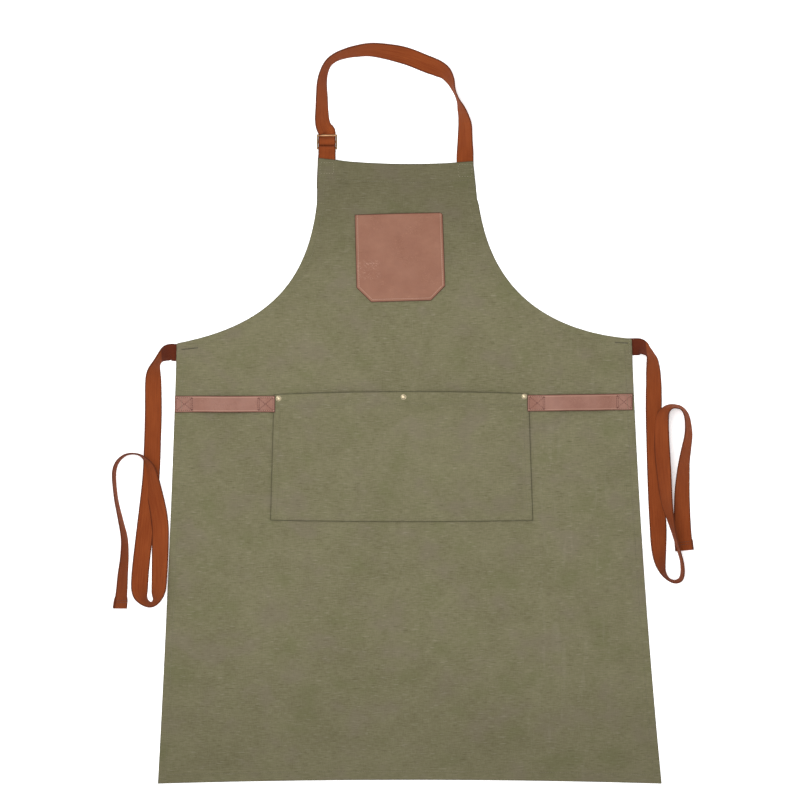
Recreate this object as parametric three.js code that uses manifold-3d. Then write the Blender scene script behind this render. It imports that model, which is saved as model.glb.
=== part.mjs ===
// A canvas bib apron with a leather chest pocket, a wide front pocket and two leather towel loops.
// It lies on its back. Millimetres: X across the apron, Y from the hem to the neck, Z out of its front.
import * as THREE from 'three';
import { mergeVertices } from 'three/addons/utils/BufferGeometryUtils.js';
import Module from 'manifold-3d';

const wasm = await Module();
wasm.setup();

// Driving dimensions.
const GAP = 0.3;              // air between pieces that touch
const CANVAS = 0.8;           // one layer of canvas
const HEM_THICK = 1.8;        // the canvas turned under and sewn
const SIDE_HEM = 12;
const BOTTOM_HEM = 14;
const BIB_HEM = 28;
const TAPE_WIDTH = 11;        // facing behind each armhole
const TAPE_THICK = 0.7;
const TAPE_SETBACK = 0.4;     // from the armhole's edge to the tape
const LEATHER = 1.6;
const WEBBING = 24;           // width of every strap
const LAYER = 1.4;            // thickness of every strap
const SEWN_LENGTH = 28;       // strap end sewn behind the canvas
const HINGE_OUT = 5;          // the neck loop folds this far above the bib's top edge
const HINGE_CLEAR = 0.5;      // room each side of that fold
const LEFT_LEG_X = -115.3;
const RIGHT_LEG_X = 77;
const BAR = 2.4;              // thickness of the slider's bars
const BAR_PITCH = 9.3;        // from one bar of the slider to the next
const SLIDER_SIDE = 1.8;
const SLIDER_PITCH = -5;      // degrees that the slider leans forward at rest
const RIVET_RADIUS = 3.8;
const POST_RADIUS = 1.2;
const POCKET_STEP = 2 * CANVAS + GAP;   // a band's rise where it lies on the front pocket's hem

const point = (x, y) => new THREE.Vector2(x, y);
const clamp = THREE.MathUtils.clamp;
const smooth = (from, to, value) => THREE.MathUtils.smoothstep(value, from, to);

const HEM_Y = -515.7;
const HEM_RISE = 5.2;         // the hem rises this much at its middle

// The outline of the body panel, each side from the hem up: skirt, armhole, bib.
const LEFT_EDGE = [
  new THREE.QuadraticBezierCurve(point(-350.8, HEM_Y), point(-334, -209), point(-324.5, 97.5)),
  new THREE.CubicBezierCurve(
    point(-324.5, 97.5), point(-210, 120.2), point(-142.8, 171.1), point(-129.3, 293.5)),
  new THREE.LineCurve(point(-129.3, 293.5), point(-127.9, 355.6)),
];
const RIGHT_EDGE = [
  new THREE.QuadraticBezierCurve(point(350.8, HEM_Y), point(321, -209), point(309, 104)),
  new THREE.CubicBezierCurve(point(309, 104), point(97.6, 122), point(102, 285.9), point(93.8, 297.7)),
  new THREE.LineCurve(point(93.8, 297.7), point(88.2, 351.4)),
];
const BIB_SAG = 5.6;          // the bib's top edge dips this much at its middle
const WAIST = 1;              // stage of the outline where the side hems end
const ARMPIT = 2;             // stage where the bib's straight sides start

// How far the canvas is raised where strap ends lie under it.
const RAISED_ROOM = 0.5;      // spare height, because the canvas and the tape bend at different lines
const LIFTS = [
  { x: LEFT_LEG_X, y: 345, halfX: 22, halfY: 38, height: 3 * LAYER + 2 * GAP + RAISED_ROOM, fade: 34 },
  { x: RIGHT_LEG_X, y: 342, halfX: 22, halfY: 34, height: LAYER + GAP + RAISED_ROOM, fade: 24 },
  { x: -313, y: 84, halfX: 34, halfY: 22, height: LAYER + GAP + RAISED_ROOM, fade: 30 },
  { x: 297, y: 91, halfX: 34, halfY: 25, height: LAYER + GAP + RAISED_ROOM, fade: 30 },
];

function lift(x, y) {
  return Math.max(...LIFTS.map((raised) => {
    const outX = Math.max(Math.abs(x - raised.x) - raised.halfX, 0);
    const outY = Math.max(Math.abs(y - raised.y) - raised.halfY, 0);
    return raised.height * (1 - smooth(0, raised.fade, Math.hypot(outX, outY)));
  }));
}

function edgePoint(edge, stage) {
  const part = Math.min(Math.floor(stage), edge.length - 1);
  return edge[part].getPoint(stage - part);
}

// A closed sheet of nx by ny cells. place gives where the corner i, j of its front or back face lies.
function sheet(nx, ny, place) {
  const geometry = new THREE.BoxGeometry(1, 1, 1, nx, ny, 1);
  const corner = geometry.attributes.position;
  for (let k = 0; k < corner.count; k += 1) {
    const i = Math.round((corner.getX(k) + 0.5) * nx);
    const j = Math.round((corner.getY(k) + 0.5) * ny);
    corner.setXYZ(k, ...place(i, j, corner.getZ(k) > 0));
  }
  return geometry;
}

// A flat strap bent along a path. path(s) gives x, y, z of its middle and its lean in radians,
// which raises the strap's right-hand edge. A strap folded back on itself states that edge's side.
function ribbon(path, from, to, steps, thickness = () => LAYER, side = null) {
  const geometry = new THREE.BoxGeometry(1, 1, 1, 1, steps, 1);
  const corner = geometry.attributes.position;
  const middle = (s) => new THREE.Vector3(...path(s).slice(0, 3));
  const step = (to - from) / steps;
  const near = 0.02 * step;
  for (let k = 0; k < corner.count; k += 1) {
    const s = from + Math.round((corner.getY(k) + 0.5) * steps) * step;
    const ahead = middle(Math.min(s + near, to));
    const heading = ahead.sub(middle(Math.max(s - near, from))).normalize();
    const right = side ? side.clone() : new THREE.Vector3(heading.y, -heading.x, 0).normalize();
    const up = right.clone().cross(heading);
    const lean = path(s)[3];
    const across = right.multiplyScalar(Math.cos(lean)).add(up.multiplyScalar(Math.sin(lean)));
    const out = across.clone().cross(heading);
    const place = middle(s)
      .add(across.multiplyScalar(corner.getX(k) * WEBBING))
      .add(out.multiplyScalar(corner.getZ(k) * thickness(s)));
    corner.setXYZ(k, place.x, place.y, place.z);
  }
  return geometry;
}

// A smooth curve through rows of numbers, taken at s, counted in rows.
function through(rows, s) {
  const i = clamp(Math.floor(s), 0, rows.length - 2);
  const f = s - i;
  const row = (k) => rows[clamp(k, 0, rows.length - 1)];
  return rows[0].map((_, column) => {
    const [a, b, c, d] = [i - 1, i, i + 1, i + 2].map((k) => row(k)[column]);
    return b + 0.5 * f * (c - a + f * (2 * a - 5 * b + 4 * c - d + f * (3 * (b - c) + d - a)));
  });
}

// A strap that rests on its lower edge: each station is x, y, lean in degrees and what it rests on.
// room is left under all of it.
const resting = (stations, room = 0) => (s) => {
  const [x, y, degrees, base] = through(stations, s);
  const lean = THREE.MathUtils.degToRad(degrees);
  const height = room + (WEBBING / 2) * Math.abs(Math.sin(lean)) + (LAYER / 2) * Math.cos(lean);
  return [x, y, base + height, lean];
};

function solid(geometry) {
  const bare = geometry.clone();
  bare.deleteAttribute('normal');
  bare.deleteAttribute('uv');
  const merged = mergeVertices(bare, 1e-4);
  return new wasm.Manifold(new wasm.Mesh({
    numProp: 3,
    vertProperties: Float32Array.from(merged.attributes.position.array),
    triVerts: Uint32Array.from(merged.index.array),
  }));
}

function fromSolid(manifold) {
  const mesh = manifold.getMesh();
  const geometry = new THREE.BufferGeometry();
  geometry.setAttribute('position', new THREE.BufferAttribute(mesh.vertProperties, 3));
  geometry.setIndex(new THREE.BufferAttribute(mesh.triVerts, 1));
  return geometry;
}

// Holes for the rivets' posts, cut straight through a piece.
function pierced(geometry, places) {
  let pieced = solid(geometry);
  for (const [x, y] of places) {
    const drill = new THREE.CylinderGeometry(POST_RADIUS + GAP, POST_RADIUS + GAP, 40, 12);
    drill.rotateX(Math.PI / 2).translate(x, y, 0);
    pieced = pieced.subtract(solid(drill));
  }
  return fromSolid(pieced);
}

// Materials.
function finish(color, roughness, metalness = 0) {
  return new THREE.MeshStandardMaterial({ color, roughness, metalness });
}
const canvas = finish(0x7f7a60, 0.95);
const leather = finish(0xa27662, 0.6);
const webbing = finish(0x8a4527, 0.85);
const brass = finish(0xc8b89d, 0.35, 1);
const darkBrass = finish(0x9a7350, 0.4, 1);

const apron = new THREE.Group();

function add(name, geometry, material) {
  geometry.computeVertexNormals();
  const mesh = new THREE.Mesh(geometry, material);
  mesh.name = name;
  apron.add(mesh);
  return mesh;
}

// Body panel: one cut of canvas, with hems turned under at the bottom, the sides and the bib's top.
const RIVETS = { left: [-182.9, 20.8], middle: [-8.7, 22.9], right: [159.7, 23.7] };
const SKIRT_LENGTH = 612;
const BIB_SIDE = 60;
const TURN = 0.6;             // length of the step from a hem to the single layer

// Rows of corners up the outline.
const STAGES = [
  0, BOTTOM_HEM / SKIRT_LENGTH, (BOTTOM_HEM + TURN) / SKIRT_LENGTH, 0.12, 0.24, 0.36, 0.48, 0.6, 0.72, 0.82,
  0.895, 0.945, 1, 1.004, 1.06, 1.12, 1.2, 1.3, 1.42, 1.55, 1.68, 1.78, 1.86, 1.93, 2, 2.25,
  3 - (BIB_HEM + TURN) / BIB_SIDE, 3 - BIB_HEM / BIB_SIDE, 2.8, 3,
];

function bodyPanel() {
  const inner = 16;
  const nx = inner + 4;
  const ny = STAGES.length - 1;
  return sheet(nx, ny, (i, j, front) => {
    const stage = STAGES[j];
    const left = edgePoint(LEFT_EDGE, stage);
    const right = edgePoint(RIGHT_EDGE, stage);
    const width = right.x - left.x;
    const inset = [0, SIDE_HEM, SIDE_HEM + TURN];
    let across = (inset[2] + ((width - 2 * inset[2]) * (i - 2)) / inner) / width;
    if (i < 2) across = inset[i] / width;
    if (i > nx - 2) across = 1 - inset[nx - i] / width;
    const arch = 1 - (2 * across - 1) ** 2;
    const bow = HEM_RISE * Math.max(1 - stage, 0) ** 2 - BIB_SAG * Math.max(stage - ARMPIT, 0);
    const x = left.x + width * across;
    const y = left.y + (right.y - left.y) * across + bow * arch;
    const sideHem = stage <= WAIST && (i < 2 || i > nx - 2);
    const hemmed = j < 2 || j > ny - 3 || sideHem;
    const under = hemmed ? 0 : HEM_THICK - CANVAS;
    return [x, y, lift(x, y) + (front ? HEM_THICK : under)];
  });
}
add('body_panel', pierced(bodyPanel(), Object.values(RIVETS)), canvas);

// Facing tape behind each armhole, from under the bib's top hem down to the waist.
function armholeTape(edge, side, from) {
  const steps = 22;
  const hemRoom = 2;
  const to = 3 - (BIB_HEM + hemRoom) / BIB_SIDE;
  return sheet(1, steps, (i, j, front) => {
    const stage = from + ((to - from) * j) / steps;
    const here = edgePoint(edge, stage);
    const ahead = edgePoint(edge, stage + 0.01).sub(edgePoint(edge, stage - 0.01)).normalize();
    const inset = TAPE_SETBACK + TAPE_WIDTH * (side > 0 ? 1 - i : i);
    const x = here.x + side * -ahead.y * inset;
    const y = here.y + side * ahead.x * inset;
    return [x, y, Math.max(lift(x, y) - RAISED_ROOM, 0) + (front ? TAPE_THICK : 0)];
  });
}
add('armhole_tape_left', armholeTape(LEFT_EDGE, -1, WAIST + 0.05), canvas);
add('armhole_tape_right', armholeTape(RIGHT_EDGE, 1, WAIST + 0.03), canvas);

// Pockets: sewn down at the sides and the bottom, with a slack mouth at the top.
const SIDE_SEAM = 9;          // width held flat by the side seams
const BOTTOM_SEAM = 6;

function pocket({ corners, bow, cut, columns, rows, thickness, belly, pinch, layers }) {
  const [topLeft, topRight, bottomLeft, bottomRight] = corners;
  const height = topLeft[1] - bottomLeft[1];
  return sheet(columns.length - 1, rows.length - 1, (i, j, front) => {
    const v = rows[j];
    const chamfer = Math.max(cut - v * height, 0);
    const left = THREE.MathUtils.lerp(bottomLeft[0], topLeft[0], v) + chamfer;
    const right = THREE.MathUtils.lerp(bottomRight[0], topRight[0], v) - chamfer;
    const lowY = THREE.MathUtils.lerp(bottomLeft[1], bottomRight[1], columns[i]);
    const highY = THREE.MathUtils.lerp(topLeft[1], topRight[1], columns[i]);
    const arch = 1 - (2 * columns[i] - 1) ** 2;
    const x = THREE.MathUtils.lerp(left, right, columns[i]);
    const y = THREE.MathUtils.lerp(lowY - bow.bottom * arch, highY + bow.top * arch, v);
    const fromSide = Math.min(x - left, right - x);
    const fromBottom = v * height;
    const slack = belly * smooth(SIDE_SEAM, 40, fromSide) * smooth(BOTTOM_SEAM, 56, fromBottom) * pinch(x, y);
    const back = HEM_THICK + GAP + slack;
    return [x, y, back + (front ? thickness * layers(v) : 0)];
  });
}

const FRONT_POCKET_HEM = 0.89;
const heldDown = ([x, y]) => (px, py) => smooth(9, 42, Math.hypot(px - x, (py - y) / 1.6));
const frontPocket = pocket({
  corners: [[-189.3, 26.5], [165.4, 27.7], [-194, -148.5], [171.4, -148.9]],
  bow: { top: 3.4, bottom: 1.9 },
  cut: 0,
  columns: [0, 0.026, 0.06, 0.12, 0.2, 0.3, 0.4, 0.475, 0.54, 0.61, 0.7, 0.8, 0.88, 0.94, 0.974, 1],
  rows: [0, 0.04, 0.15, 0.35, 0.6, 0.75, 0.87, FRONT_POCKET_HEM, 0.93, 1],
  thickness: CANVAS,
  belly: 6.5,
  pinch: heldDown(RIVETS.middle),
  layers: (v) => (v >= FRONT_POCKET_HEM ? 2 : 1),
});
add('front_pocket', pierced(frontPocket, Object.values(RIVETS)), canvas);

const CHEST_CUT = 20;         // size of the chest pocket's cut corners
const CHEST_HEIGHT = 122;
add('chest_pocket', pocket({
  corners: [[-76.3, 276.8], [45.5, 279.9], [-73.6, 155.4], [49.8, 157.8]],
  bow: { top: 0, bottom: 0 },
  cut: CHEST_CUT,
  columns: [0, 0.08, 0.18, 0.32, 0.5, 0.68, 0.82, 0.92, 1],
  rows: [0, 0.06, CHEST_CUT / CHEST_HEIGHT, 0.35, 0.55, 0.75, 0.9, 1],
  thickness: LEATHER,
  belly: 6,
  pinch: () => 1,
  layers: () => 1,
}), leather);

// Towel loops: leather bands sewn down at both ends and slack between.
const BAND_WIDTH = 22.6;
const BAND_SEWN = 26;         // length of each sewn end
const BAND_RISE = 6.5;        // how far the slack part stands off the canvas

function towelBand(outer, inner) {
  const steps = 14;
  const length = Math.abs(inner[0] - outer[0]);
  const [start, end] = outer[0] < inner[0] ? [outer, inner] : [inner, outer];
  return sheet(steps, 1, (i, j, front) => {
    const u = i / steps;
    const x = THREE.MathUtils.lerp(start[0], end[0], u);
    const y = THREE.MathUtils.lerp(start[1], end[1], u) + BAND_WIDTH * (j - 0.5);
    const fromEnd = length * Math.min(u, 1 - u);
    const onPocket = POCKET_STEP * (1 - smooth(8, BAND_SEWN + 20, Math.abs(x - inner[0])));
    const off = BAND_RISE * smooth(BAND_SEWN, 2 * BAND_SEWN, fromEnd);
    const back = HEM_THICK + GAP + onPocket + off;
    return [x, y, back + (front ? LEATHER : 0)];
  });
}
add('towel_loop_left', towelBand([-327, 13.1], [-187.9, 13.1]), leather);
add('towel_loop_right', towelBand([310.4, 16.3], [164.2, 14.4]), leather);

// Rivets at the front pocket's mouth: a domed cap with a post, and a flat cap behind.
function rivetCap() {
  const seat = HEM_THICK + GAP + POCKET_STEP;
  const tip = TAPE_THICK + GAP;
  const profile = [
    [0, tip], [POST_RADIUS, tip], [POST_RADIUS, seat], [RIVET_RADIUS, seat], [RIVET_RADIUS, seat + 0.5],
    [RIVET_RADIUS - 0.7, seat + 1.1], [RIVET_RADIUS - 2, seat + 1.5], [0, seat + 1.6],
  ];
  return new THREE.LatheGeometry(profile.map(([r, z]) => point(r, z)), 16).rotateX(Math.PI / 2);
}

function rivetBack() {
  const profile = [
    [0, 0], [RIVET_RADIUS - 0.7, 0], [RIVET_RADIUS - 0.4, 0.2], [RIVET_RADIUS - 0.4, TAPE_THICK],
    [0, TAPE_THICK],
  ];
  return new THREE.LatheGeometry(profile.map(([r, z]) => point(r, z)), 16).rotateX(Math.PI / 2);
}

for (const [side, [x, y]] of Object.entries(RIVETS)) {
  add(`rivet_cap_${side}`, rivetCap(), brass).position.set(x, y, 0);
  add(`rivet_back_${side}`, rivetBack(), brass).position.set(x, y, 0);
}

const LEFT_BIB_Y = 355.6;     // top of the bib at its left and right corners
const RIGHT_BIB_Y = 351.4;

// Neck strap: x, y, lean and what it rests on, from the bib's right corner over to the slider.
const NECK_STRAP = [
  [77, 357.2, 0, 0], [77, 370, 22, 0], [77, 386, 32, 0], [77, 399, 38, 0], [75.6, 408, 48, 0],
  [73.6, 416.6, 59, 0], [70.8, 425, 69, 0], [68, 433, 82, 0], [64.5, 442, 87, 0], [61, 451, 82, 0],
  [56.5, 463, 65, 0], [49, 473.8, 46, 0], [38, 480.8, 25, 0], [22, 487.5, 9, 0], [-3, 497.5, 8, 0],
  [-29, 503, 32, 0], [-55, 505.8, 48, 0], [-76, 503.3, 58, 0], [-90, 500, 65, 0], [-103, 495, 70, 0],
  [-113, 487, 71, 0], [-119, 475, 66, 0], [-122, 460, 58, 0], [-122.2, 442, 50, 0], [-122.2, 425, 45, 0],
  [-121.6, 411, 35, 0], [-118.6, 402, 22, 0], [LEFT_LEG_X, 395.5, 5, 0.1], [LEFT_LEG_X, 391, 0, 0.4],
];
const BAR_ROOM = 1.9;         // the anchor loop's inner radius round the slider's bottom bar
const BOTTOM_BAR = { y: 368.9, z: 2 * LAYER + GAP + BAR_ROOM };
const LEFT_HINGE_Y = LEFT_BIB_Y + HINGE_OUT;
const RIGHT_HINGE_Y = RIGHT_BIB_Y + HINGE_OUT;
add('neck_strap', ribbon(resting(NECK_STRAP), 0, NECK_STRAP.length - 1, 66), webbing);

const flatRun = (x, from, to, z) => (s) => [x, THREE.MathUtils.lerp(from, to, s), z, 0];
add('neck_strap_sewn_end', ribbon(
  flatRun(RIGHT_LEG_X, RIGHT_BIB_Y - SEWN_LENGTH, RIGHT_HINGE_Y - HINGE_CLEAR, LAYER / 2), 0, 1, 4), webbing);

// The strap passes under the slider's top bar and over its middle bar: y and z from its bottom bar.
const BEND = [
  [21.4, -3.9], [18.6, -3.9], [15.8, -3.1], [13.6, -0.9], [12, 0.8], [9.4, 1.5], [6.8, 0.8], [5.6, -0.7],
];
const bend = (s) => {
  const [y, z] = through(BEND, s);
  return [LEFT_LEG_X, BOTTOM_BAR.y + y, BOTTOM_BAR.z + z, 0];
};
add('neck_strap_bend', ribbon(bend, 0, BEND.length - 1, 21), webbing);

// From the slider's lower slot the strap's tail runs under the anchor loop and behind the bib.
const TAIL = [
  [LEFT_LEG_X, 374.2, 3.3], [LEFT_LEG_X, 372.8, 1.7], [LEFT_LEG_X, 370, 0.9], [LEFT_LEG_X - 0.3, 362, 0.75],
  [LEFT_LEG_X - 1.3, 345, 0.75], [LEFT_LEG_X - 2.2, 328, 0.75], [LEFT_LEG_X - 2.6, 313.5, 0.75],
];
add('neck_strap_tail', ribbon((s) => [...through(TAIL, s), 0], 0, TAIL.length - 1, 24), webbing);

// Anchor loop: short webbing doubled round the slider's bottom bar, its ends sewn behind the bib.
const LOOP_RADIUS = BAR_ROOM + LAYER / 2;
const LOOP_TURN = Math.PI * 0.56;
const FRONT_LAYER = 2.5 * LAYER + 2 * GAP;
const BACK_LAYER = 1.5 * LAYER + GAP;
const LOOP_START = 3.6;       // below the bottom bar, where the webbing starts to turn
const FRONT_RISE = 1.9;       // from the sewn end to that turn, front and back
const BACK_RISE = 0.15;
const anchorPath = (s) => {
  if (s > 1 && s < 3) {
    const angle = LOOP_TURN * (2 - s);
    const [out, rise] = [LOOP_RADIUS * Math.cos(angle), LOOP_RADIUS * Math.sin(angle)];
    return [LEFT_LEG_X, BOTTOM_BAR.y + out, BOTTOM_BAR.z + rise, 0];
  }
  const toLoop = s <= 1 ? s : 4 - s;
  const y = THREE.MathUtils.lerp(LEFT_HINGE_Y + HINGE_CLEAR, BOTTOM_BAR.y - LOOP_START, toLoop);
  const rise = s <= 1 ? FRONT_LAYER + FRONT_RISE * toLoop : BACK_LAYER + BACK_RISE * toLoop;
  return [LEFT_LEG_X, y, rise, 0];
};
add('anchor_loop', ribbon(anchorPath, 0, 4, 32, () => LAYER, new THREE.Vector3(1, 0, 0)), webbing);

function anchorEnd() {
  const from = LEFT_BIB_Y - SEWN_LENGTH;
  const to = LEFT_HINGE_Y - HINGE_CLEAR;
  const thickness = 2 * LAYER + GAP;
  return new THREE.BoxGeometry(WEBBING, to - from, thickness, 1, 3, 1)
    .translate(LEFT_LEG_X, (from + to) / 2, LAYER + GAP + thickness / 2);
}
add('anchor_loop_sewn_end', anchorEnd(), webbing);

// Slider: a flat brass frame with a middle bar, turned a little about its bottom bar.
function slider() {
  const halfWidth = WEBBING / 2 + GAP + SLIDER_SIDE;
  const bevel = 0.5;
  const rect = (path, x, fromY, toY) => {
    path.moveTo(-x, fromY).lineTo(x, fromY).lineTo(x, toY).lineTo(-x, toY).closePath();
    return path;
  };
  const top = 2 * BAR_PITCH + BAR / 2 - bevel;
  const outline = rect(new THREE.Shape(), halfWidth - bevel, -BAR / 2 + bevel, top);
  for (const bar of [0, 1]) {
    const low = bar * BAR_PITCH + BAR / 2 - bevel;
    const high = (bar + 1) * BAR_PITCH - BAR / 2 + bevel;
    outline.holes.push(rect(new THREE.Path(), WEBBING / 2 + GAP + bevel, low, high));
  }
  return new THREE.ExtrudeGeometry(outline, {
    depth: BAR - 2 * bevel, bevelSize: bevel, bevelThickness: bevel, bevelSegments: 2, steps: 1,
  }).translate(0, 0, -BAR / 2 + bevel);
}
const sliderMesh = add('slider', slider(), darkBrass);
sliderMesh.position.set(LEFT_LEG_X, BOTTOM_BAR.y, BOTTOM_BAR.z);
sliderMesh.rotation.x = THREE.MathUtils.degToRad(SLIDER_PITCH);

// Waist ties: each comes out from behind a waist corner and lies in a long loose loop.
const LEFT_TIE = [
  [-327.5, 85, 0, 0], [-334.5, 85, 10, 0], [-341.2, 81, 42, 0], [-347.5, 76, 66, 0], [-352, 69.5, 68, 0],
  [-355.5, 59, 46, 0], [-357, 44, 26, 0], [-357, 5, 16, 0], [-358, -37, 18, 0], [-360, -85, 14, 0],
  [-364, -122, 8, 0], [-369, -162, 0, 0], [-374, -205, 0, 0], [-376, -230, 8, 0], [-375.5, -248, 28, 0],
  [-370, -260, 64, 0], [-361, -265.5, 78, 0], [-353.5, -261, 64, 0], [-350, -248, 32, 0],
  [-348.5, -227, 19, 0], [-347.5, -171, 4, 0], [-349, -144, 4, 1.7], [-354, -116, 14, 1.7],
  [-359, -91, 27, 1.7], [-362, -74, 48, 1.7], [-368, -63, 73, 1.7], [-377, -57, 83, 0.6], [-389, -56, 86, 0],
  [-399, -60, 86, 0], [-407.5, -70, 85, 0], [-410.8, -86, 85, 0], [-408, -118, 86, 0], [-401.5, -149, 82, 0],
  [-396.5, -174, 75, 0], [-396.5, -200, 68, 0], [-398.8, -224, 61, 0.1], [-400.5, -248, 56, 0.3],
  [-403, -271, 50, 0.7],
];
const RIGHT_TIE = [
  [311.5, 93, 0, 0], [319, 93, 4, 0], [324.2, 91.6, 28, 0], [328.6, 88.2, 54, 0], [332, 85, 63, 0],
  [334.8, 80.6, 55, 0], [336.8, 75, 44, 0], [337.9, 69, 37, 0], [338.9, 57, 27, 0], [339.7, 40.4, 20, 0],
  [339.8, 25, 15, 0], [340, -10, 14, 0], [342, -58, 4, 0], [344, -115, 2, 0], [346, -158, 6, 0],
  [346.5, -185, 22, 0], [348, -205, 42, 0], [352, -220, 66, 0], [359.5, -230, 81, 0], [368, -233.5, 84, 0],
  [376, -230.5, 85, 0], [379, -221, 85, 0], [378, -206, 86, 0], [374, -191, 86, 0], [367.5, -168, 83, 0.4],
  [362, -146, 72, 1.4], [357, -122, 55, 1.7], [354, -90, 42, 1.7], [351, -50, 33, 1.7], [350, -22, 37, 1.7],
  [351, -5, 48, 1.7], [355, 4, 64, 1.7], [361, 9, 74, 1], [369, 10, 78, 0], [378, 7, 76, 0],
  [384.5, -3, 68, 0], [387, -18, 62, 0], [387, -32, 56, 0], [384.5, -48, 50, 0], [381.5, -68, 43, 0],
  [379.7, -93, 30, 0], [379, -120, 18, 0], [380, -158, 5, 0.4], [383, -191, 0, 0.7],
];
const TIP_HEM = 14;           // the tie's end, turned back and sewn double
const REST_ROOM = 0.2;        // room under a tie where it twists on a slope

function waistTie(stations) {
  const last = stations.length - 1;
  const [end, before] = [stations[last], stations[last - 1]];
  const tip = TIP_HEM / Math.hypot(end[0] - before[0], end[1] - before[1]);
  const thickness = (s) => (s > last - tip ? 2 * LAYER : LAYER);
  return ribbon(resting(stations, REST_ROOM), 0, last, 2 * last, thickness);
}

const TIE_GAP = 0.8;          // room for the tie to start its twist
function tieEnd([x, y], side) {
  const toMiddle = TIE_GAP + SEWN_LENGTH / 2;
  return new THREE.BoxGeometry(SEWN_LENGTH, WEBBING, LAYER).translate(x + side * toMiddle, y, LAYER / 2);
}
add('waist_tie_left', waistTie(LEFT_TIE), webbing);
add('waist_tie_left_sewn_end', tieEnd(LEFT_TIE[0], 1), webbing);
add('waist_tie_right', waistTie(RIGHT_TIE), webbing);
add('waist_tie_right_sewn_end', tieEnd(RIGHT_TIE[0], -1), webbing);

export default apron;
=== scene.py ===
"""A canvas bib apron lying flat on its back: khaki canvas, rust webbing, rosy leather and brass fittings.

Shapes are worked out in millimetres and placed in metres. X runs across the apron, Y from the hem to the
neck, and Z out of its front.
"""

import math

import bmesh
import bpy
import numpy as np
from mathutils import Matrix, Vector, noise
from mathutils.bvhtree import BVHTree


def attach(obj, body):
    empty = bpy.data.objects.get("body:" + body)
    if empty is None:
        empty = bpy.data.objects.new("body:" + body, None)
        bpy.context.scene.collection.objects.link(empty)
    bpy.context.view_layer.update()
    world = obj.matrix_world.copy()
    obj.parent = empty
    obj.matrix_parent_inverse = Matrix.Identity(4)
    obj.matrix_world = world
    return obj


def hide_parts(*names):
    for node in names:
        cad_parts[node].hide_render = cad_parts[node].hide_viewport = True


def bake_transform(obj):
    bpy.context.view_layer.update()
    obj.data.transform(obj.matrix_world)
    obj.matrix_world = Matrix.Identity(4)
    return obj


MM = 0.001
CANVAS = 0.8                  # one layer of canvas
TURNED = 0.9                  # the layer turned under at a hem
TAPE = 0.7                    # the facing tape behind an armhole
GAP = 0.3                     # room left between pieces that lie on each other or run through each other
LEATHER = 1.6
WEBBING = 24.0                # width of every strap
LAYER = 1.4                   # thickness of every strap
HEM_Y = -515.7
LEFT_LEG_X = -115.3
RIGHT_LEG_X = 77.0
LEFT_HINGE_Y = 360.6          # where the anchor webbing starts to rise to the slider's bottom bar, under the neck loop's left leg
BOTTOM_BAR = (368.9, 5.0)     # y and z of the slider's bottom bar
SLIDER_PITCH = math.radians(-5)
RIVETS = ((-182.9, 20.8), (-8.7, 22.9), (159.7, 23.7))

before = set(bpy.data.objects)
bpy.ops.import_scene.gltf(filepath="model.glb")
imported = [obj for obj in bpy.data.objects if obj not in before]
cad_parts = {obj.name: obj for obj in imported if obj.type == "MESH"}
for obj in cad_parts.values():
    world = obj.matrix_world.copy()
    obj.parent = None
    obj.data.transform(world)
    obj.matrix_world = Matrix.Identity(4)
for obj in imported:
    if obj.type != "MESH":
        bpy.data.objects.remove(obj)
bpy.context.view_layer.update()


# ---------------------------------------------------------------- camera, lights and floor

def overhead_camera():
    """Straight above the apron, far enough off that nothing leans outwards."""
    height, view = 3.2, 1.1155    # metres above the table, and metres of it across the view
    data = bpy.data.cameras.new("overhead")
    data.sensor_width = 36
    data.lens = data.sensor_width * height / view
    camera = bpy.data.objects.new("overhead", data)
    camera.location = (-0.0136, 0.0188, height)
    bpy.context.scene.collection.objects.link(camera)
    bpy.context.scene.camera = camera


def softbox(name, place, size, power):
    """A square lamp that faces the middle of the table."""
    data = bpy.data.lights.new(name, "AREA")
    data.shape = "SQUARE"
    data.size = size
    data.energy = power
    light = bpy.data.objects.new(name, data)
    light.location = place
    light.rotation_euler = Vector(place).to_track_quat("Z", "Y").to_euler()
    bpy.context.scene.collection.objects.link(light)


def studio():
    """An even white sky, three softboxes and a white table just under the apron."""
    scene = bpy.context.scene
    scene.view_settings.view_transform = "Standard"
    world = bpy.data.worlds.new("studio")
    world.use_nodes = True
    sky = world.node_tree.nodes["Background"]
    sky.inputs["Color"].default_value = (1, 1, 1, 1)
    sky.inputs["Strength"].default_value = 0.72
    scene.world = world
    softbox("softbox_overhead", (-0.15, 0.0, 1.35), 0.8, 12)
    softbox("softbox_upper_left", (-1.5, 1.5, 2.0), 1.6, 26)
    softbox("softbox_right", (1.9, -0.3, 2.2), 2.0, 13)

    table = bmesh.new()
    bmesh.ops.create_grid(table, x_segments=1, y_segments=1, size=4)
    bmesh.ops.translate(table, verts=table.verts, vec=(0, 0, -0.0003))
    mesh = bpy.data.meshes.new("table_top")
    table.to_mesh(mesh)
    table.free()
    floor = bpy.data.objects.new("table_top", mesh)
    white = bpy.data.materials.new("white_table")
    white.use_nodes = True
    shader = white.node_tree.nodes["Principled BSDF"]
    shader.inputs["Base Color"].default_value = (0.97, 0.97, 0.97, 1)
    shader.inputs["Roughness"].default_value = 0.9
    shader.inputs["Emission Color"].default_value = (1, 1, 1, 1)
    shader.inputs["Emission Strength"].default_value = 0.35
    mesh.materials.append(white)
    scene.collection.objects.link(floor)


overhead_camera()
studio()


# ---------------------------------------------------------------- materials

STUDIO_LIGHT = 1.62           # how brightly the lights fall on the middle of the apron


def tone(red, green, blue, light=STUDIO_LIGHT):
    """The shader colour that looks like this display colour, 0 to 255, under the studio's light."""
    def linear(value):
        value /= 255
        return (value / 12.92 if value <= 0.04045 else ((value + 0.055) / 1.055) ** 2.4) / light
    return (linear(red), linear(green), linear(blue), 1)


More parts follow.
